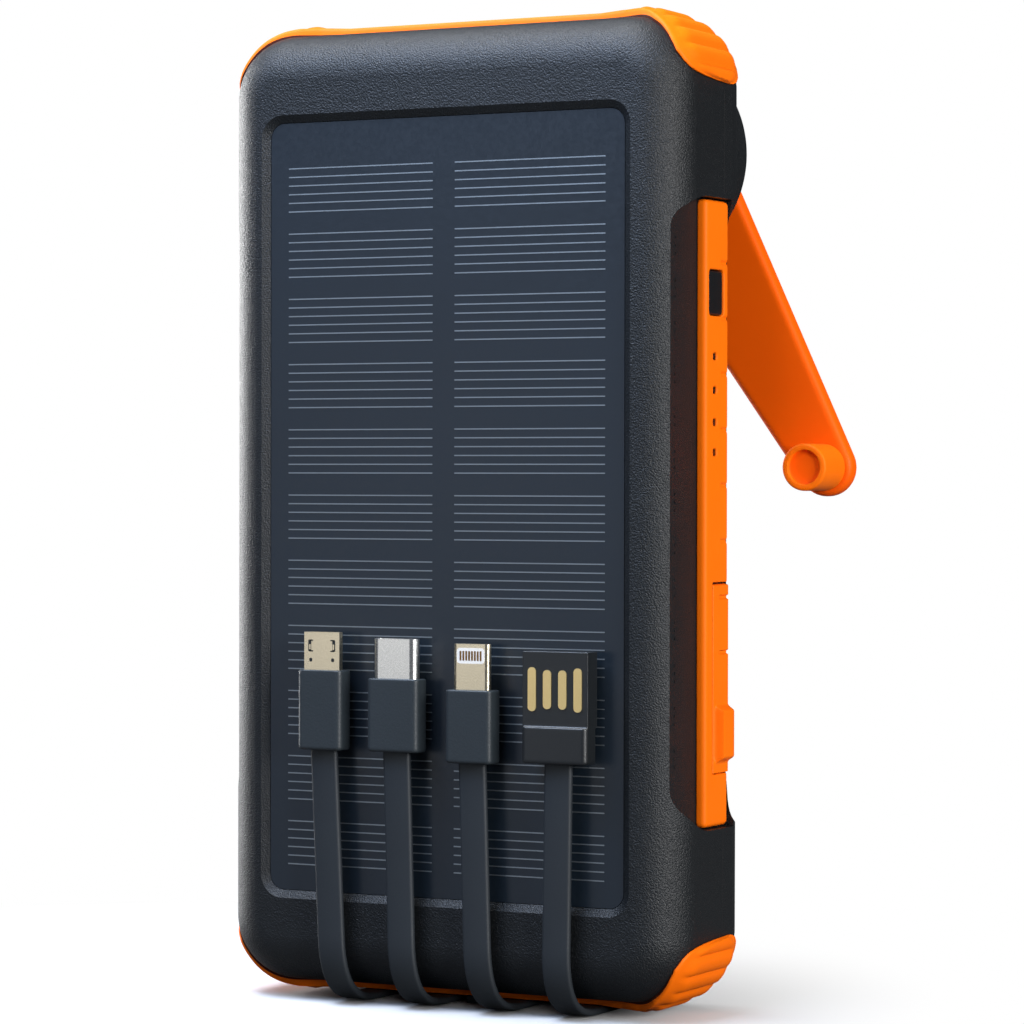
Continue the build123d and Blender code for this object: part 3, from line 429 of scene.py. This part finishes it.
# %% [markdown]
# Metal has no colour under its reflection, so its base colour is the tint of what it mirrors. A turned
# or wound part has fine streaks: noise that is stretched along Z. A plated stamping has none, only a
# slight cloud of 0.12 mm. Scratches could be drawn one by one, but on parts this small they would
# never be seen.

# %% Metal
STREAK_STRETCH, STREAK_DEPTH_MM = 0.06, 0.004


def metal(name, colour, drift, roughness, spread, brush_mm=None, cloud_mm=2.0):
    """A metal: it keeps the default IOR. With brush_mm its noise is stretched into streaks."""
    made = bpy.data.materials.new(name)
    made.use_nodes = True
    tree = made.node_tree
    shader = tree.nodes["Principled BSDF"]
    shader.inputs["Metallic"].default_value = 1.0
    where = put(tree, "ShaderNodeTexCoord").outputs["Object"]
    if brush_mm:
        stretch = {"Vector": where, "Scale": (1.0, 1.0, STREAK_STRETCH)}
        where = put(tree, "ShaderNodeMapping", stretch).outputs[0]
    scale = 1 / ((brush_mm or cloud_mm) * MM)
    streak = put(tree, "ShaderNodeTexNoise", {"Vector": where, "Scale": scale, "Detail": 4.0})
    hue = put(tree, "ShaderNodeMix", {0: streak.outputs["Fac"], 6: linear(colour), 7: linear(drift)},
              data_type="RGBA")
    tree.links.new(hue.outputs[2], shader.inputs["Base Color"])
    gloss = put(tree, "ShaderNodeMapRange", {0: streak.outputs["Fac"], 1: 0.3, 2: 0.7,
                                             3: roughness - spread, 4: roughness + spread})
    tree.links.new(gloss.outputs[0], shader.inputs["Roughness"])
    bump = put(tree, "ShaderNodeBump", {"Height": streak.outputs["Fac"], "Strength": 0.3,
                                        "Distance": STREAK_DEPTH_MM * MM})
    tree.links.new(bump.outputs[0], shader.inputs["Normal"])
    return made


# plug shells: bright nickel, and nickel with a flash of gold
NICKEL_STEEL = metal("nickel_plated_steel_stamping", "#ececea", "#e4e4e2", 0.28, 0.02, cloud_mm=0.12)
CHAMPAGNE_STEEL = metal("nickel_gold_flashed_steel", "#eadfc6", "#e2d5b8", 0.28, 0.02, cloud_mm=0.12)
GOLD_PLATE = metal("gold_plated_contact", "#fbe3a8", "#f4d894", 0.3, 0.02, cloud_mm=0.12)
# pins and shafts with marks of the lathe, and zinc plated sheet with a soft bloom
TURNED_STEEL = metal("turned_steel", "#a9abad", "#8f9193", 0.3, 0.06, brush_mm=0.3)
ZINC_STEEL = metal("zinc_plated_steel_sheet", "#9da2a6", "#868b90", 0.38, 0.07)
# bearing and the contacts of the tablet plug, then winding, cans and foil inside the case
BRONZE = metal("sintered_bronze", "#a9814d", "#8c6738", 0.5, 0.08)
COPPER_WIRE = metal("enamelled_copper_winding", "#b8693a", "#99522a", 0.35, 0.08, brush_mm=0.4)
ALUMINIUM_CAN = metal("drawn_aluminium_can", "#c3c5c8", "#a9abae", 0.3, 0.05)
POUCH_FOIL = metal("laminated_pouch_foil", "#c8cacc", "#adb0b3", 0.35, 0.08)
print("metals done, materials so far:", len(bpy.data.materials))

# %% [markdown]
# The lens of the torch is clear polycarbonate. It could be perfectly smooth glass, but slightly rough
# glass with a faint tint still shows the cups behind it and reads as moulded plastic.

# %% Clear plastic
HAZE_MM = 3


def clear_plastic(name, colour, drift, roughness):
    made = bpy.data.materials.new(name)
    made.use_nodes = True
    tree = made.node_tree
    shader = tree.nodes["Principled BSDF"]
    shader.inputs["IOR"].default_value = 1.585
    shader.inputs["Transmission Weight"].default_value = 0.85
    shader.inputs["Roughness"].default_value = roughness
    where = put(tree, "ShaderNodeTexCoord").outputs["Object"]
    haze = put(tree, "ShaderNodeTexNoise", {"Vector": where, "Scale": 1 / (HAZE_MM * MM)})
    hue = put(tree, "ShaderNodeMix", {0: haze.outputs["Fac"], 6: linear(colour), 7: linear(drift)},
              data_type="RGBA")
    tree.links.new(hue.outputs[2], shader.inputs["Base Color"])
    return made


CLEAR_PC = clear_plastic("polycarbonate_clear", "#f2f5f6", "#dfe4e6", 0.12)
print("clear plastic", CLEAR_PC.name)

# %% [markdown]
# The solar face is a thin laminate: dark blue-grey silicon under a clear film with a satin surface.
# The film could be a second sheet of glass, but a coat on the shader gives the same soft mirror over
# the dark cell. The film's texture is finer than a pixel, so it is drawn at 0.6 mm.

# %% Solar laminate
CELL_PATCH_MM, FILM_GRAIN_MM, FILM_DEPTH_MM = 40, 0.6, 0.01


def solar_laminate():
    made = bpy.data.materials.new("silicon_under_satin_film")
    made.use_nodes = True
    tree = made.node_tree
    shader = tree.nodes["Principled BSDF"]
    shader.inputs["IOR"].default_value = 1.5
    shader.inputs["Coat Weight"].default_value = 0.2
    shader.inputs["Coat Roughness"].default_value = 0.3
    shader.inputs["Coat IOR"].default_value = 1.5
    where = put(tree, "ShaderNodeTexCoord").outputs["Object"]
    cloud = put(tree, "ShaderNodeTexNoise", {"Vector": where, "Scale": 1 / (CELL_PATCH_MM * MM),
                                             "Detail": 4.0})
    hue = put(tree, "ShaderNodeMix", {0: cloud.outputs["Fac"], 6: linear("#0f1922"), 7: linear("#141f29")},
              data_type="RGBA")
    tree.links.new(hue.outputs[2], shader.inputs["Base Color"])
    satin = put(tree, "ShaderNodeTexNoise", {"Vector": where, "Scale": 1 / (FILM_GRAIN_MM * MM),
                                             "Detail": 1.0})
    bump = put(tree, "ShaderNodeBump", {"Height": satin.outputs["Fac"], "Strength": 0.5,
                                        "Distance": FILM_DEPTH_MM * MM})
    tree.links.new(bump.outputs[0], shader.inputs["Normal"])
    gloss = put(tree, "ShaderNodeMapRange", {0: satin.outputs["Fac"], 1: 0.3, 2: 0.7, 3: 0.36, 4: 0.46})
    tree.links.new(gloss.outputs[0], shader.inputs["Roughness"])
    return made


LAMINATE = solar_laminate()
SILVER_PASTE = metal("printed_silver_paste", "#a4acb2", "#959da3", 0.5, 0.05)
print("panel finishes", LAMINATE.name, SILVER_PASTE.name)

# %% [markdown]
# Silver lines gather the current of the cells. They are printed 0.2 mm wide, in eleven groups of six
# on each side of a plain strip in the middle. They could be a pattern in the material, but then they
# would be missing from the mesh, so each is a very thin strip that stands just proud of the panel.

# %% Collecting lines
PANEL_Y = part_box("solar_panel")[0].y
LINE_GROUPS, LINES_IN_GROUP = 11, 6
GROUP_PITCH, LINE_PITCH, LINE_TOP, LINE_HALF = 11.136, 1.471, 142.15, 0.1
LINE_X = (2.1, 30.15)
LINE_BACK, LINE_FACE = PANEL_Y + 0.02 * MM, PANEL_Y - 0.04 * MM


def collecting_lines(bm):
    for group in range(LINE_GROUPS):
        for line in range(LINES_IN_GROUP):
            z = (LINE_TOP - group * GROUP_PITCH - line * LINE_PITCH) * MM
            for side in (-1, 1):
                x0, x1 = sorted(side * x * MM for x in LINE_X)
                ring = ((x0, LINE_BACK), (x1, LINE_BACK), (x1, LINE_FACE), (x0, LINE_FACE))
                skin(bm, [[(x, y, z + dz) for x, y in ring] for dz in (-LINE_HALF * MM, LINE_HALF * MM)])


FINGERS = piece_from("solar_collecting_lines", collecting_lines, "body", smooth=False)
FINGERS.data.materials.append(SILVER_PASTE)
print("collecting lines", LINE_GROUPS * LINES_IN_GROUP * 2)

# %% [markdown]
# A bumper lies on the rounded end of the body, so its shape is easiest to give as a thickness over
# that surface. One function gives the point of the surface for a place along the edge and a depth Y,
# lifted by as much as is asked. Two more give the rounding of an edge and a soft step, and a table
# gives measures in between those that were taken.

# %% Body surface under the bumpers
HALF_W, TOP_Z, LOW_Z, CORNER = 43.2, 165.45, 2.95, 11.0
QUARTER = CORNER * math.pi / 2
FLAT_HALF, FRONT_ROUND, REAR_ROUND = 7, 8, 9


def on_body(along, y, lift):
    """A point above the top right of the body: along runs from the side round the corner."""
    if y < -FLAT_HALF:
        tilt, inset, way = math.asin(min(1, (-FLAT_HALF - y) / FRONT_ROUND)), FRONT_ROUND, -1
    elif y > FLAT_HALF:
        tilt, inset, way = math.asin(min(1, (y - FLAT_HALF) / REAR_ROUND)), REAR_ROUND, 1
    else:
        tilt, inset, way = 0.0, 0, 0
    reach = CORNER - inset * (1 - math.cos(tilt)) + lift * math.cos(tilt)
    turn = min(max(along / CORNER, 0.0), math.pi / 2)
    x = HALF_W - CORNER + reach * math.cos(turn) - max(0.0, along - QUARTER)
    z = TOP_Z - CORNER + reach * math.sin(turn) + min(0.0, along)
    return Vector((x, y + way * lift * math.sin(tilt), z))


def table(pairs, at):
    """Value between listed pairs."""
    for (a, u), (b, v) in zip(pairs, pairs[1:]):
        if at <= b:
            return u + (v - u) * min(max((at - a) / (b - a), 0.0), 1.0)
    return pairs[-1][1]


def rounding(share):
    """A quarter circle: 1 up to share 0, then falling to 0 at share 1."""
    return math.sqrt(max(0.0, 1 - max(0.0, share) ** 2))


def soft_step(share):
    """0 up to share 0, 1 from share 1 on, and a smooth rise in between."""
    share = min(1.0, max(0.0, share))
    return share * share * (3 - 2 * share)


print("middle of the top in mm", [round(v, 1) for v in on_body(HALF_W - CORNER + QUARTER, 0.0, 0.0)])

# %% [markdown]
# The orange bumpers are soft rubber moulded over each end of the body. A thin band runs across the
# end and swells into a ridged pad on each corner, with an edge that sweeps forward. A solid could be
# cut and rounded, but the pad follows the body so closely that a thickness worked out at each point
# is simpler. Three tables give the front edge, the rear edge and the thickness along the corner. The
# ridges fade before they reach the edge.

# %% Thickness of the bumpers
PAD_FRONT = [(0.6, 6.0), (0.7, 3.0), (0.8, 0.4), (1.1, -4.0), (1.5, -7.3), (2.1, -9.0), (3.3, -10.1),
             (5.2, -10.8), (7.4, -10.6), (9.9, -10.0), (12.7, -9.2), (16.1, -7.2), (20.4, -5.2),
             (25.4, -4.2), (57.0, -4.2)]
PAD_REAR = [(0.6, 6.0), (0.7, 7.2), (1.1, 8.6), (2.0, 9.8), (3.8, 10.8), (6.6, 11.2), (9.9, 10.9),
            (12.7, 10.1), (16.1, 9.2), (20.4, 8.7), (25.4, 8.5), (57.0, 8.5)]
PAD_LIFT = [(0.6, 0.4), (2.0, 0.5), (8.0, 0.7), (13.0, 1.1), (17.0, 1.6), (21.0, 1.65), (25.4, 1.45),
            (57.0, 1.45)]
PAD_END, MIDDLE_ALONG = 25.4, HALF_W - CORNER + QUARTER
BORDER_WIDE = 0.5
RIDGE_START, RIDGE_PITCH, RIDGE_COUNT, RIDGE_HIGH, RIDGE_SHARP = -0.3, 3.3, 6, 0.7, 1.3
RIDGE_CLEAR, RIDGE_FADE = 1.2, 3.2


def pad_lift(along, y, front, rear):
    """Thickness of the bumper: a rounded border, then ridges that fade in."""
    from_edge = max(0.0, min(y - front, rear - y))
    border = rounding(1 - min(1.0, from_edge / BORDER_WIDE))
    lift = table(PAD_LIFT, along)
    count = (along - RIDGE_START) / RIDGE_PITCH
    if 0 < count < RIDGE_COUNT:
        ridge = rounding(abs(2 * (count - math.floor(count)) - 1)) ** RIDGE_SHARP
        lift += RIDGE_HIGH * ridge * soft_step((from_edge - RIDGE_CLEAR) / RIDGE_FADE)
    return lift * border


print("thickness in the middle of a band in mm:", pad_lift(MIDDLE_ALONG, 2.0, -4.2, 8.5))

# %% [markdown]
# A bumper is two sheets, one on the surface of the bumper and one just under that of the body, with
# walls round them. A plane with a solidify modifier could do that, but here the rows of points can be
# packed closely at the border, where the rubber curves most. The foot of the border gets painted shade:
# a second, darker copy of the orange that stands for the shadow of the joint.

# %% Bumpers
THINNEST, SUNK, KEPT_APART = 0.06, -0.25, 0.001
SHADED_WIDE, SHADED_HIGH, UNCAPPED = 0.05, 0.42, 9.0
ALONGS = [0.6, 0.65, 0.7, 0.8, 0.95] + [1.1 + 0.3 * k for k in range(82)]
ALONGS += [PAD_END + (MIDDLE_ALONG - PAD_END) * k / 12 for k in range(1, 13)]
COLUMNS = [(1, a) for a in ALONGS] + [(-1, a) for a in reversed(ALONGS[:-1])]
SHARES = [0.5 - 0.5 * math.cos(math.pi * k / 32) for k in range(33)]


def pad_column(side, along, top, lifted):
    """Points from front to rear at one place along the edge, in millimetres."""
    front, rear = table(PAD_FRONT, along), table(PAD_REAR, along) + KEPT_APART
    inset = min(2 * SHADED_WIDE, (rear - front) / 4)
    rows = [(front, THINNEST), (front + inset / 2, SHADED_HIGH)]
    rows += [(front + inset + (rear - front - 2 * inset) * share, UNCAPPED) for share in SHARES]
    rows += [(rear - inset / 2, SHADED_HIGH), (rear, THINNEST)]
    column = []
    for y, most in rows:
        lift = min(most, max(THINNEST, pad_lift(along, y, front, rear)))
        place = on_body(along, y, lift if lifted else SUNK)
        column.append((side * place.x, place.y, place.z if top else TOP_Z + LOW_Z - place.z))
    return column


def bumper_sheet(bm, top):
    """Outer and inner sheet with walls round them. Slot 1 of the materials is painted shade on the foot."""
    outer, inner = [[[bm.verts.new(p) for p in in_mm(pad_column(side, along, top, lifted))]
                     for side, along in COLUMNS] for lifted in (True, False)]
    last = len(outer[0]) - 1
    for sheet in (outer, inner):
        for left, right in zip(sheet, sheet[1:]):
            for j in range(last):
                face = bm.faces.new((left[j], right[j], right[j + 1], left[j + 1]))
                # slot 1 paints shade on the first and last rows, the foot of the border
                face.material_index = 1 if j in (0, last - 1) else 0
    for j in (0, last):
        for i in range(len(COLUMNS) - 1):
            wall = bm.faces.new((outer[i][j], outer[i + 1][j], inner[i + 1][j], inner[i][j]))
            # the walls round the border are painted shade too
            wall.material_index = 1
    for i in (0, len(COLUMNS) - 1):
        for j in range(last):
            bm.faces.new((outer[i][j], outer[i][j + 1], inner[i][j + 1], inner[i][j]))


for name, top in (("top_bumper", True), ("bottom_bumper", False)):
    piece = piece_from(name + "_pads", lambda bm: bumper_sheet(bm, top), "body")
    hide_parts(name)
    piece.data.materials.append(TPU_ORANGE)
    piece.data.materials.append(TPU_PAINTED_JOINT_SHADE)
    print(piece.name, "faces", len(piece.data.polygons))

# %% [markdown]
# Rails, crank arm, knob, button and plug bodies come out of their moulds with slightly rounded
# corners. Bevelling hundreds of CAD edges is fragile, so a fine voxel remesh with a few rounds of
# smoothing rounds them all alike. Each row gives the voxel size in millimetres, the rounds of
# smoothing and the finish.

# %% Soft edges
SOFTENED = {"right_rail": (0.2, 3, TPU_ORANGE), "left_rail": (0.2, 3, TPU_ORANGE),
            "crank_arm": (0.25, 3, NYLON_ORANGE), "crank_knob": (0.15, 3, TPU_ORANGE),
            "power_button": (0.13, 3, ABS_BLACK), "micro_usb_grip": (0.17, 4, TPE_GRIP),
            "type_c_grip": (0.17, 4, TPE_GRIP), "tablet_grip": (0.17, 4, TPE_GRIP),
            "type_a_plug": (0.15, 2, LCP_BLACK), "strain_relief_bar": (0.3, 3, TPE_LEAD)}


def soft_copy(node, voxel_mm, rounds):
    """A copy of a CAD solid with its sharp edges worn round, which stands in for the node."""
    draft = bpy.data.objects.new(node + "_draft", NODES[node].data.copy())
    scene.collection.objects.link(draft)
    remesh = draft.modifiers.new("remesh", "REMESH")
    remesh.mode = "VOXEL"
    remesh.voxel_size = voxel_mm * MM
    bpy.context.view_layer.update()
    mesh = bpy.data.meshes.new_from_object(draft.evaluated_get(bpy.context.evaluated_depsgraph_get()))
    bpy.data.objects.remove(draft)
    bm = bmesh.new()
    bm.from_mesh(mesh)
    for _ in range(rounds):
        bmesh.ops.smooth_vert(bm, verts=bm.verts, factor=0.5,
                              use_axis_x=True, use_axis_y=True, use_axis_z=True)
    bm.to_mesh(mesh)
    bm.free()
    mesh.materials.clear()
    mesh.polygons.foreach_set("use_smooth", [True] * len(mesh.polygons))
    obj = bpy.data.objects.new(node + "_soft", mesh)
    scene.collection.objects.link(obj)
    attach(obj, BODY_OF[node])
    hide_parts(node)
    print(obj.name, "faces", len(mesh.polygons))
    return obj


SHAPED = {}  # finish of each piece that this lesson shapes
for node, (voxel, rounds, finish) in SOFTENED.items():
    SHAPED[soft_copy(node, voxel, rounds).name] = finish

# %% [markdown]
# The port cover is a rubber flap with a fin to pull it by. The fin rises in a hollow curve from the
# front so that a nail can catch it. It could be carved from a block, but sections stacked from bottom
# to top give the flap, its fin, the two notches that line up with those of the rail and the rolled
# edge round the hinge pin all in one skin.

# %% Port cover
COVER_LOW, COVER_STEP, COVER_FRONT, COVER_REAR, FRONT_EASE = 40.45, 0.2, 2.0, 8.0, 0.12
HINGE_X, HINGE_Z, HINGE_R, LIP_AT, LIP_HIGH = 41.45, 71.0, 0.85, 0.55, 0.3
FIN_Z, FIN_RAMP, FIN_HIGH, FIN_FROM, FIN_WALL = (41.9, 51.9), 1.3, 1.45, 2.75, 0.45
HOLLOW_AT, HOLLOW_WIDE, HOLLOW_DEEP = 2.55, 0.2, 0.25
EDGE_FROM, EDGE_WIDE = 7.2, 0.8
NOTCH_Z, NOTCH_FROM, NOTCH_HALF, NOTCH_DEEP = (60.46, 69.73), 4.8, 0.3, 0.35
ACROSS = [2.12, 2.25, 2.4, 2.55, 2.7, 2.85, 2.95, 3.05, 3.15, 3.3, 3.6, 4.4, 5.4, 6.4, 7.2, 7.5,
          7.65, 7.78, 7.88, 7.92]


def cover_section(z):
    """Outline at one height, anticlockwise in X and Y, in millimetres."""
    half = HINGE_R * rounding((z - HINGE_Z) / HINGE_R)
    lip = HINGE_R * rounding((z - HINGE_Z - LIP_AT) / LIP_HIGH)
    rise = FIN_HIGH * soft_step(min(z - FIN_Z[0], FIN_Z[1] - z) / FIN_RAMP)
    ring = [(HINGE_X - half, COVER_REAR), (HINGE_X - half, COVER_FRONT),
            (HINGE_X + max(lip - FRONT_EASE, 0.0), COVER_FRONT)]
    for y in ACROSS:
        fin = soft_step((y - FIN_FROM) / FIN_WALL) * rounding((y - EDGE_FROM) / EDGE_WIDE)
        hollow = HOLLOW_DEEP * rise / FIN_HIGH * math.exp(-((y - HOLLOW_AT) / HOLLOW_WIDE) ** 2)
        x = HINGE_X + max(half, lip) + rise * fin - hollow
        if y > NOTCH_FROM and any(abs(z - notch) < NOTCH_HALF for notch in NOTCH_Z):
            x -= NOTCH_DEEP
        ring.append((x, y))
    return in_mm((x, y, z) for x, y in ring)


def port_cover_shape(bm):
    heights = [COVER_LOW + COVER_STEP * k for k in range(153)]
    heights += [HINGE_Z + COVER_STEP / 2 * k for k in range(6)]
    heights += [HINGE_Z + LIP_AT + LIP_HIGH * math.sin(math.radians(a)) for a in (15, 35, 55, 70, 82)]
    skin(bm, [cover_section(z) for z in heights])


cover = piece_from("port_cover_fin", port_cover_shape, "cover")
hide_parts("port_cover")
SHAPED[cover.name] = TPU_ORANGE
print("port cover faces", len(cover.data.polygons))

# %% [markdown]
# A micro plug has two latch windows and two weld dots in its face, and a tablet plug has a white
# insert with gold contacts. They could be cut into the solid, but from the front they read as flat
# patches of another colour, so each is a very thin plate in the colour of what lies there.

# %% Plug faces
MICRO_AT, TABLET_AT = (-21.1, -18.25, 63.35), (7.4, -18.1, 61.95)
LOWER_LAYER, UPPER_LAYER = (-0.03, 0.05), (-0.06, -0.02)
# each plate: across, up, width, height and corner radius, from the middle of the plug's front edge
MICRO_WINDOWS = [(side * across, *rest) for side in (-1, 1) for across, *rest in (
    (2.35, -2.3, 0.55, 2.0, 0.2), (2.05, -1.4, 0.7, 0.24, 0.1), (2.05, -3.2, 0.7, 0.24, 0.1),
    (2.15, -4.7, 0.55, 0.65, 0.2))]
MICRO_LATCHES = [(side * 2.3, -2.5, 0.28, 0.9, 0.1) for side in (-1, 1)]
TABLET_INSERT = [(0, -1.95, 5.2, 2.6, 0.55)]
TABLET_CONTACTS = [((k - 3.5) * 0.54, -1.95, 0.33, 1.6, 0.1) for k in range(8)]


def face_plates(bm, at, depths, plates):
    """Thin rounded plates on a face that looks along Y, between two depths."""
    x, y, z = at
    for across, up, width, height, radius in plates:
        outline = rounded_outline(width, height, radius)
        skin(bm, [in_mm((x + across + u, y + depth, z + up + v) for u, v in outline)
                  for depth in depths])


for name, at, depths, plates, slot, finish in (
        ("micro_plug_windows", MICRO_AT, LOWER_LAYER, MICRO_WINDOWS, "plug_steel", LCP_BLACK),
        ("micro_plug_latches", MICRO_AT, UPPER_LAYER, MICRO_LATCHES, "plug_steel", CHAMPAGNE_STEEL),
        ("tablet_plug_insert", TABLET_AT, LOWER_LAYER, TABLET_INSERT, "plug_steel", LCP_WHITE),
        ("tablet_plug_contacts", TABLET_AT, UPPER_LAYER, TABLET_CONTACTS, "gold_contact", BRONZE)):
    piece = piece_from(name, lambda bm: face_plates(bm, at, depths, plates), "body", smooth=False)
    SHAPED[piece.name] = finish
    print(name, "plates", len(plates))

# %% [markdown]
# The end of the knob is a shallow dish. The solid has a deeper hole there for the pin. The dish could
# be cut in the solid, but a small plug that closes the hole a little under the face is quicker, and
# its rim can be softened in the same profile.

# %% Knob end
KNOB_X, KNOB_FACE, KNOB_Z = 52.1, 16.8, 91.35
DISH_PROFILE = ((1.6, 0.8), (2.5, 0.8), (2.8, 0.72), (2.93, 0.5), (2.93, 2.4))  # radius, depth


def circle(x, y, z, radius, steps=40):
    """A ring of points round an axis along Y, given in millimetres."""
    turns = [2 * math.pi * k / steps for k in range(steps)]
    return in_mm((x + radius * math.cos(t), y, z + radius * math.sin(t)) for t in turns)


def knob_dish(bm):
    skin(bm, [circle(KNOB_X, KNOB_FACE + depth, KNOB_Z, radius) for radius, depth in DISH_PROFILE])


dish = piece_from("knob_end_dish", knob_dish, BODY_OF["crank_knob"])
# the dish takes the redder arm orange: painted shade inside the hollow of the knob
SHAPED[dish.name] = NYLON_ORANGE
print("dish faces", len(dish.data.polygons))

# %% [markdown]
# The hollow in front of each rail has small raised grip bars, and where the two shells meet a fine black
# line, painted shade of their gap, shows above and below the rail. Both are flat bars on a side wall, so
# one function makes them. A line in the material would be quicker, but it would have no edge to catch
# the light.

# %% Side trim
SEAM_Y, SEAM_SPANS, SEAM_REACH = (3.93, 4.07), ((12.9, 31.0), (136.6, 153.9)), (43.1, 43.215)
GRIP_COUNT, GRIP_LOW, GRIP_PITCH, GRIP_WIDE, GRIP_REACH = 13, 42.0, 7.0, 0.45, (40.48, 40.6)
GRIP_FRONT, GRIP_BARS = -9.4, ((0.0, -7.9), (1.3, -6.6), (2.6, -7.9))  # height in the group, rear end


def side_bar(bm, side, reach, depths, heights):
    """A flat bar on the left or right wall, between two distances from the middle of the body."""
    (y0, y1), (z0, z1) = depths, heights
    ring = ((y0, z0), (y1, z0), (y1, z1), (y0, z1))
    skin(bm, [in_mm((x, y, z) for y, z in ring) for x in sorted(side * r for r in reach)])


def grip_bars(bm):
    for side in (-1, 1):
        for k in range(GRIP_COUNT):
            for up, rear in GRIP_BARS:
                z = GRIP_LOW + GRIP_PITCH * k + up
                side_bar(bm, side, GRIP_REACH, (GRIP_FRONT, rear), (z, z + GRIP_WIDE))


# thin black bars that paint the shade in the gap between the shells
def seam_shade_lines(bm):
    for side in (-1, 1):
        for heights in SEAM_SPANS:
            side_bar(bm, side, SEAM_REACH, SEAM_Y, heights)


for name, build, finish in (("side_grip_bars", grip_bars, ABS_SHELL),
                            ("shell_seam_painted_shade", seam_shade_lines, BLACK_EPOXY_ALSO_PAINTED_SHADE)):
    SHAPED[piece_from(name, build, "body", smooth=False).name] = finish

# %% [markdown]
# On the back, the screws have cross recesses, and the torch has three bright cups behind its lens. A
# cup is a profile turned round its axis. The crosses could be cut, but they are so small that dark plates
# on the screw heads, painted shade of the recesses, read the same.

# %% Back trim
SCREWS, SCREW_FACE, CROSS_THICK = ((35.2, 22.25), (-35.2, 22.25), (35.2, 113.25), (-35.2, 113.25)), 14.1, 0.13
CROSS = ((0, 0, 2.6, 0.6, 0.2), (0, 0, 0.6, 2.6, 0.2))
TORCH_X, TORCH_Z = (-11, 0, 11), 26.25
CUP_PROFILE = ((3.6, 12.7), (3.9, 13.3), (4.6, 13.8), (5.4, 14.12), (5.6, 14.12), (5.6, 12.7))


# dark plates that paint the shade inside each cross recess
def screw_crosses(bm):
    for x, z in SCREWS:
        face_plates(bm, (x, SCREW_FACE, z), (0, CROSS_THICK), CROSS)


def torch_cups(bm):
    for x in TORCH_X:
        rings = [circle(x, depth, TORCH_Z, radius) for radius, depth in CUP_PROFILE]
        skin(bm, rings + [rings[0]], closed_ends=False)


for name, build, finish, smooth in (("screw_cross_painted_shade", screw_crosses, BLACK_EPOXY_ALSO_PAINTED_SHADE, False),
                                    ("torch_reflector_cups", torch_cups, ALUMINIUM_CAN, True)):
    SHAPED[piece_from(name, build, "body", smooth=smooth).name] = finish

# %% [markdown]
# The record names a slot for every node, such as shell plastic or gear plastic, so one table gives
# each slot its finish. Nodes could be painted one by one, but with a table no node is forgotten. The
# few that differ from the rest of their slot come after it.

# %% Which finish goes on which record slot
FINISH_OF_SLOT = {
    "shell_plastic": ABS_SHELL, "panel_laminate": LAMINATE, "orange_tpu": TPU_ORANGE,
    "orange_plastic": NYLON_ORANGE, "black_plastic": ABS_BLACK, "lead_jacket": TPE_LEAD,
    "plug_grip": TPE_GRIP, "plug_steel": NICKEL_STEEL, "gold_contact": GOLD_PLATE,
    "circuit_board": BOARD_GREEN, "component_black": BLACK_EPOXY_ALSO_PAINTED_SHADE, "capacitor_can": ALUMINIUM_CAN,
    "cell_foil": POUCH_FOIL, "clear_lens": CLEAR_PC, "steel": TURNED_STEEL, "gear_plastic": POM_IVORY,
    "bronze": BRONZE, "copper_coils": COPPER_WIRE, "gear_plate": ZINC_STEEL,
}


def paint(obj, material):
    obj.data.materials.clear()
    obj.data.materials.append(material)


for node_name, node_obj in NODES.items():
    paint(node_obj, FINISH_OF_SLOT[SLOT_OF[node_name]])
paint(NODES["light_pipes"], SMOKED_PC)
for node_name in ("micro_usb_plug", "tablet_plug"):
    paint(NODES[node_name], CHAMPAGNE_STEEL)
for piece_name, finish in SHAPED.items():
    paint(bpy.data.objects[piece_name], finish)
for lead_piece in LEAD_PIECES:
    paint(lead_piece, TPE_LEAD)
print("painted", len(NODES), "nodes and", len(SHAPED) + len(LEAD_PIECES), "pieces")
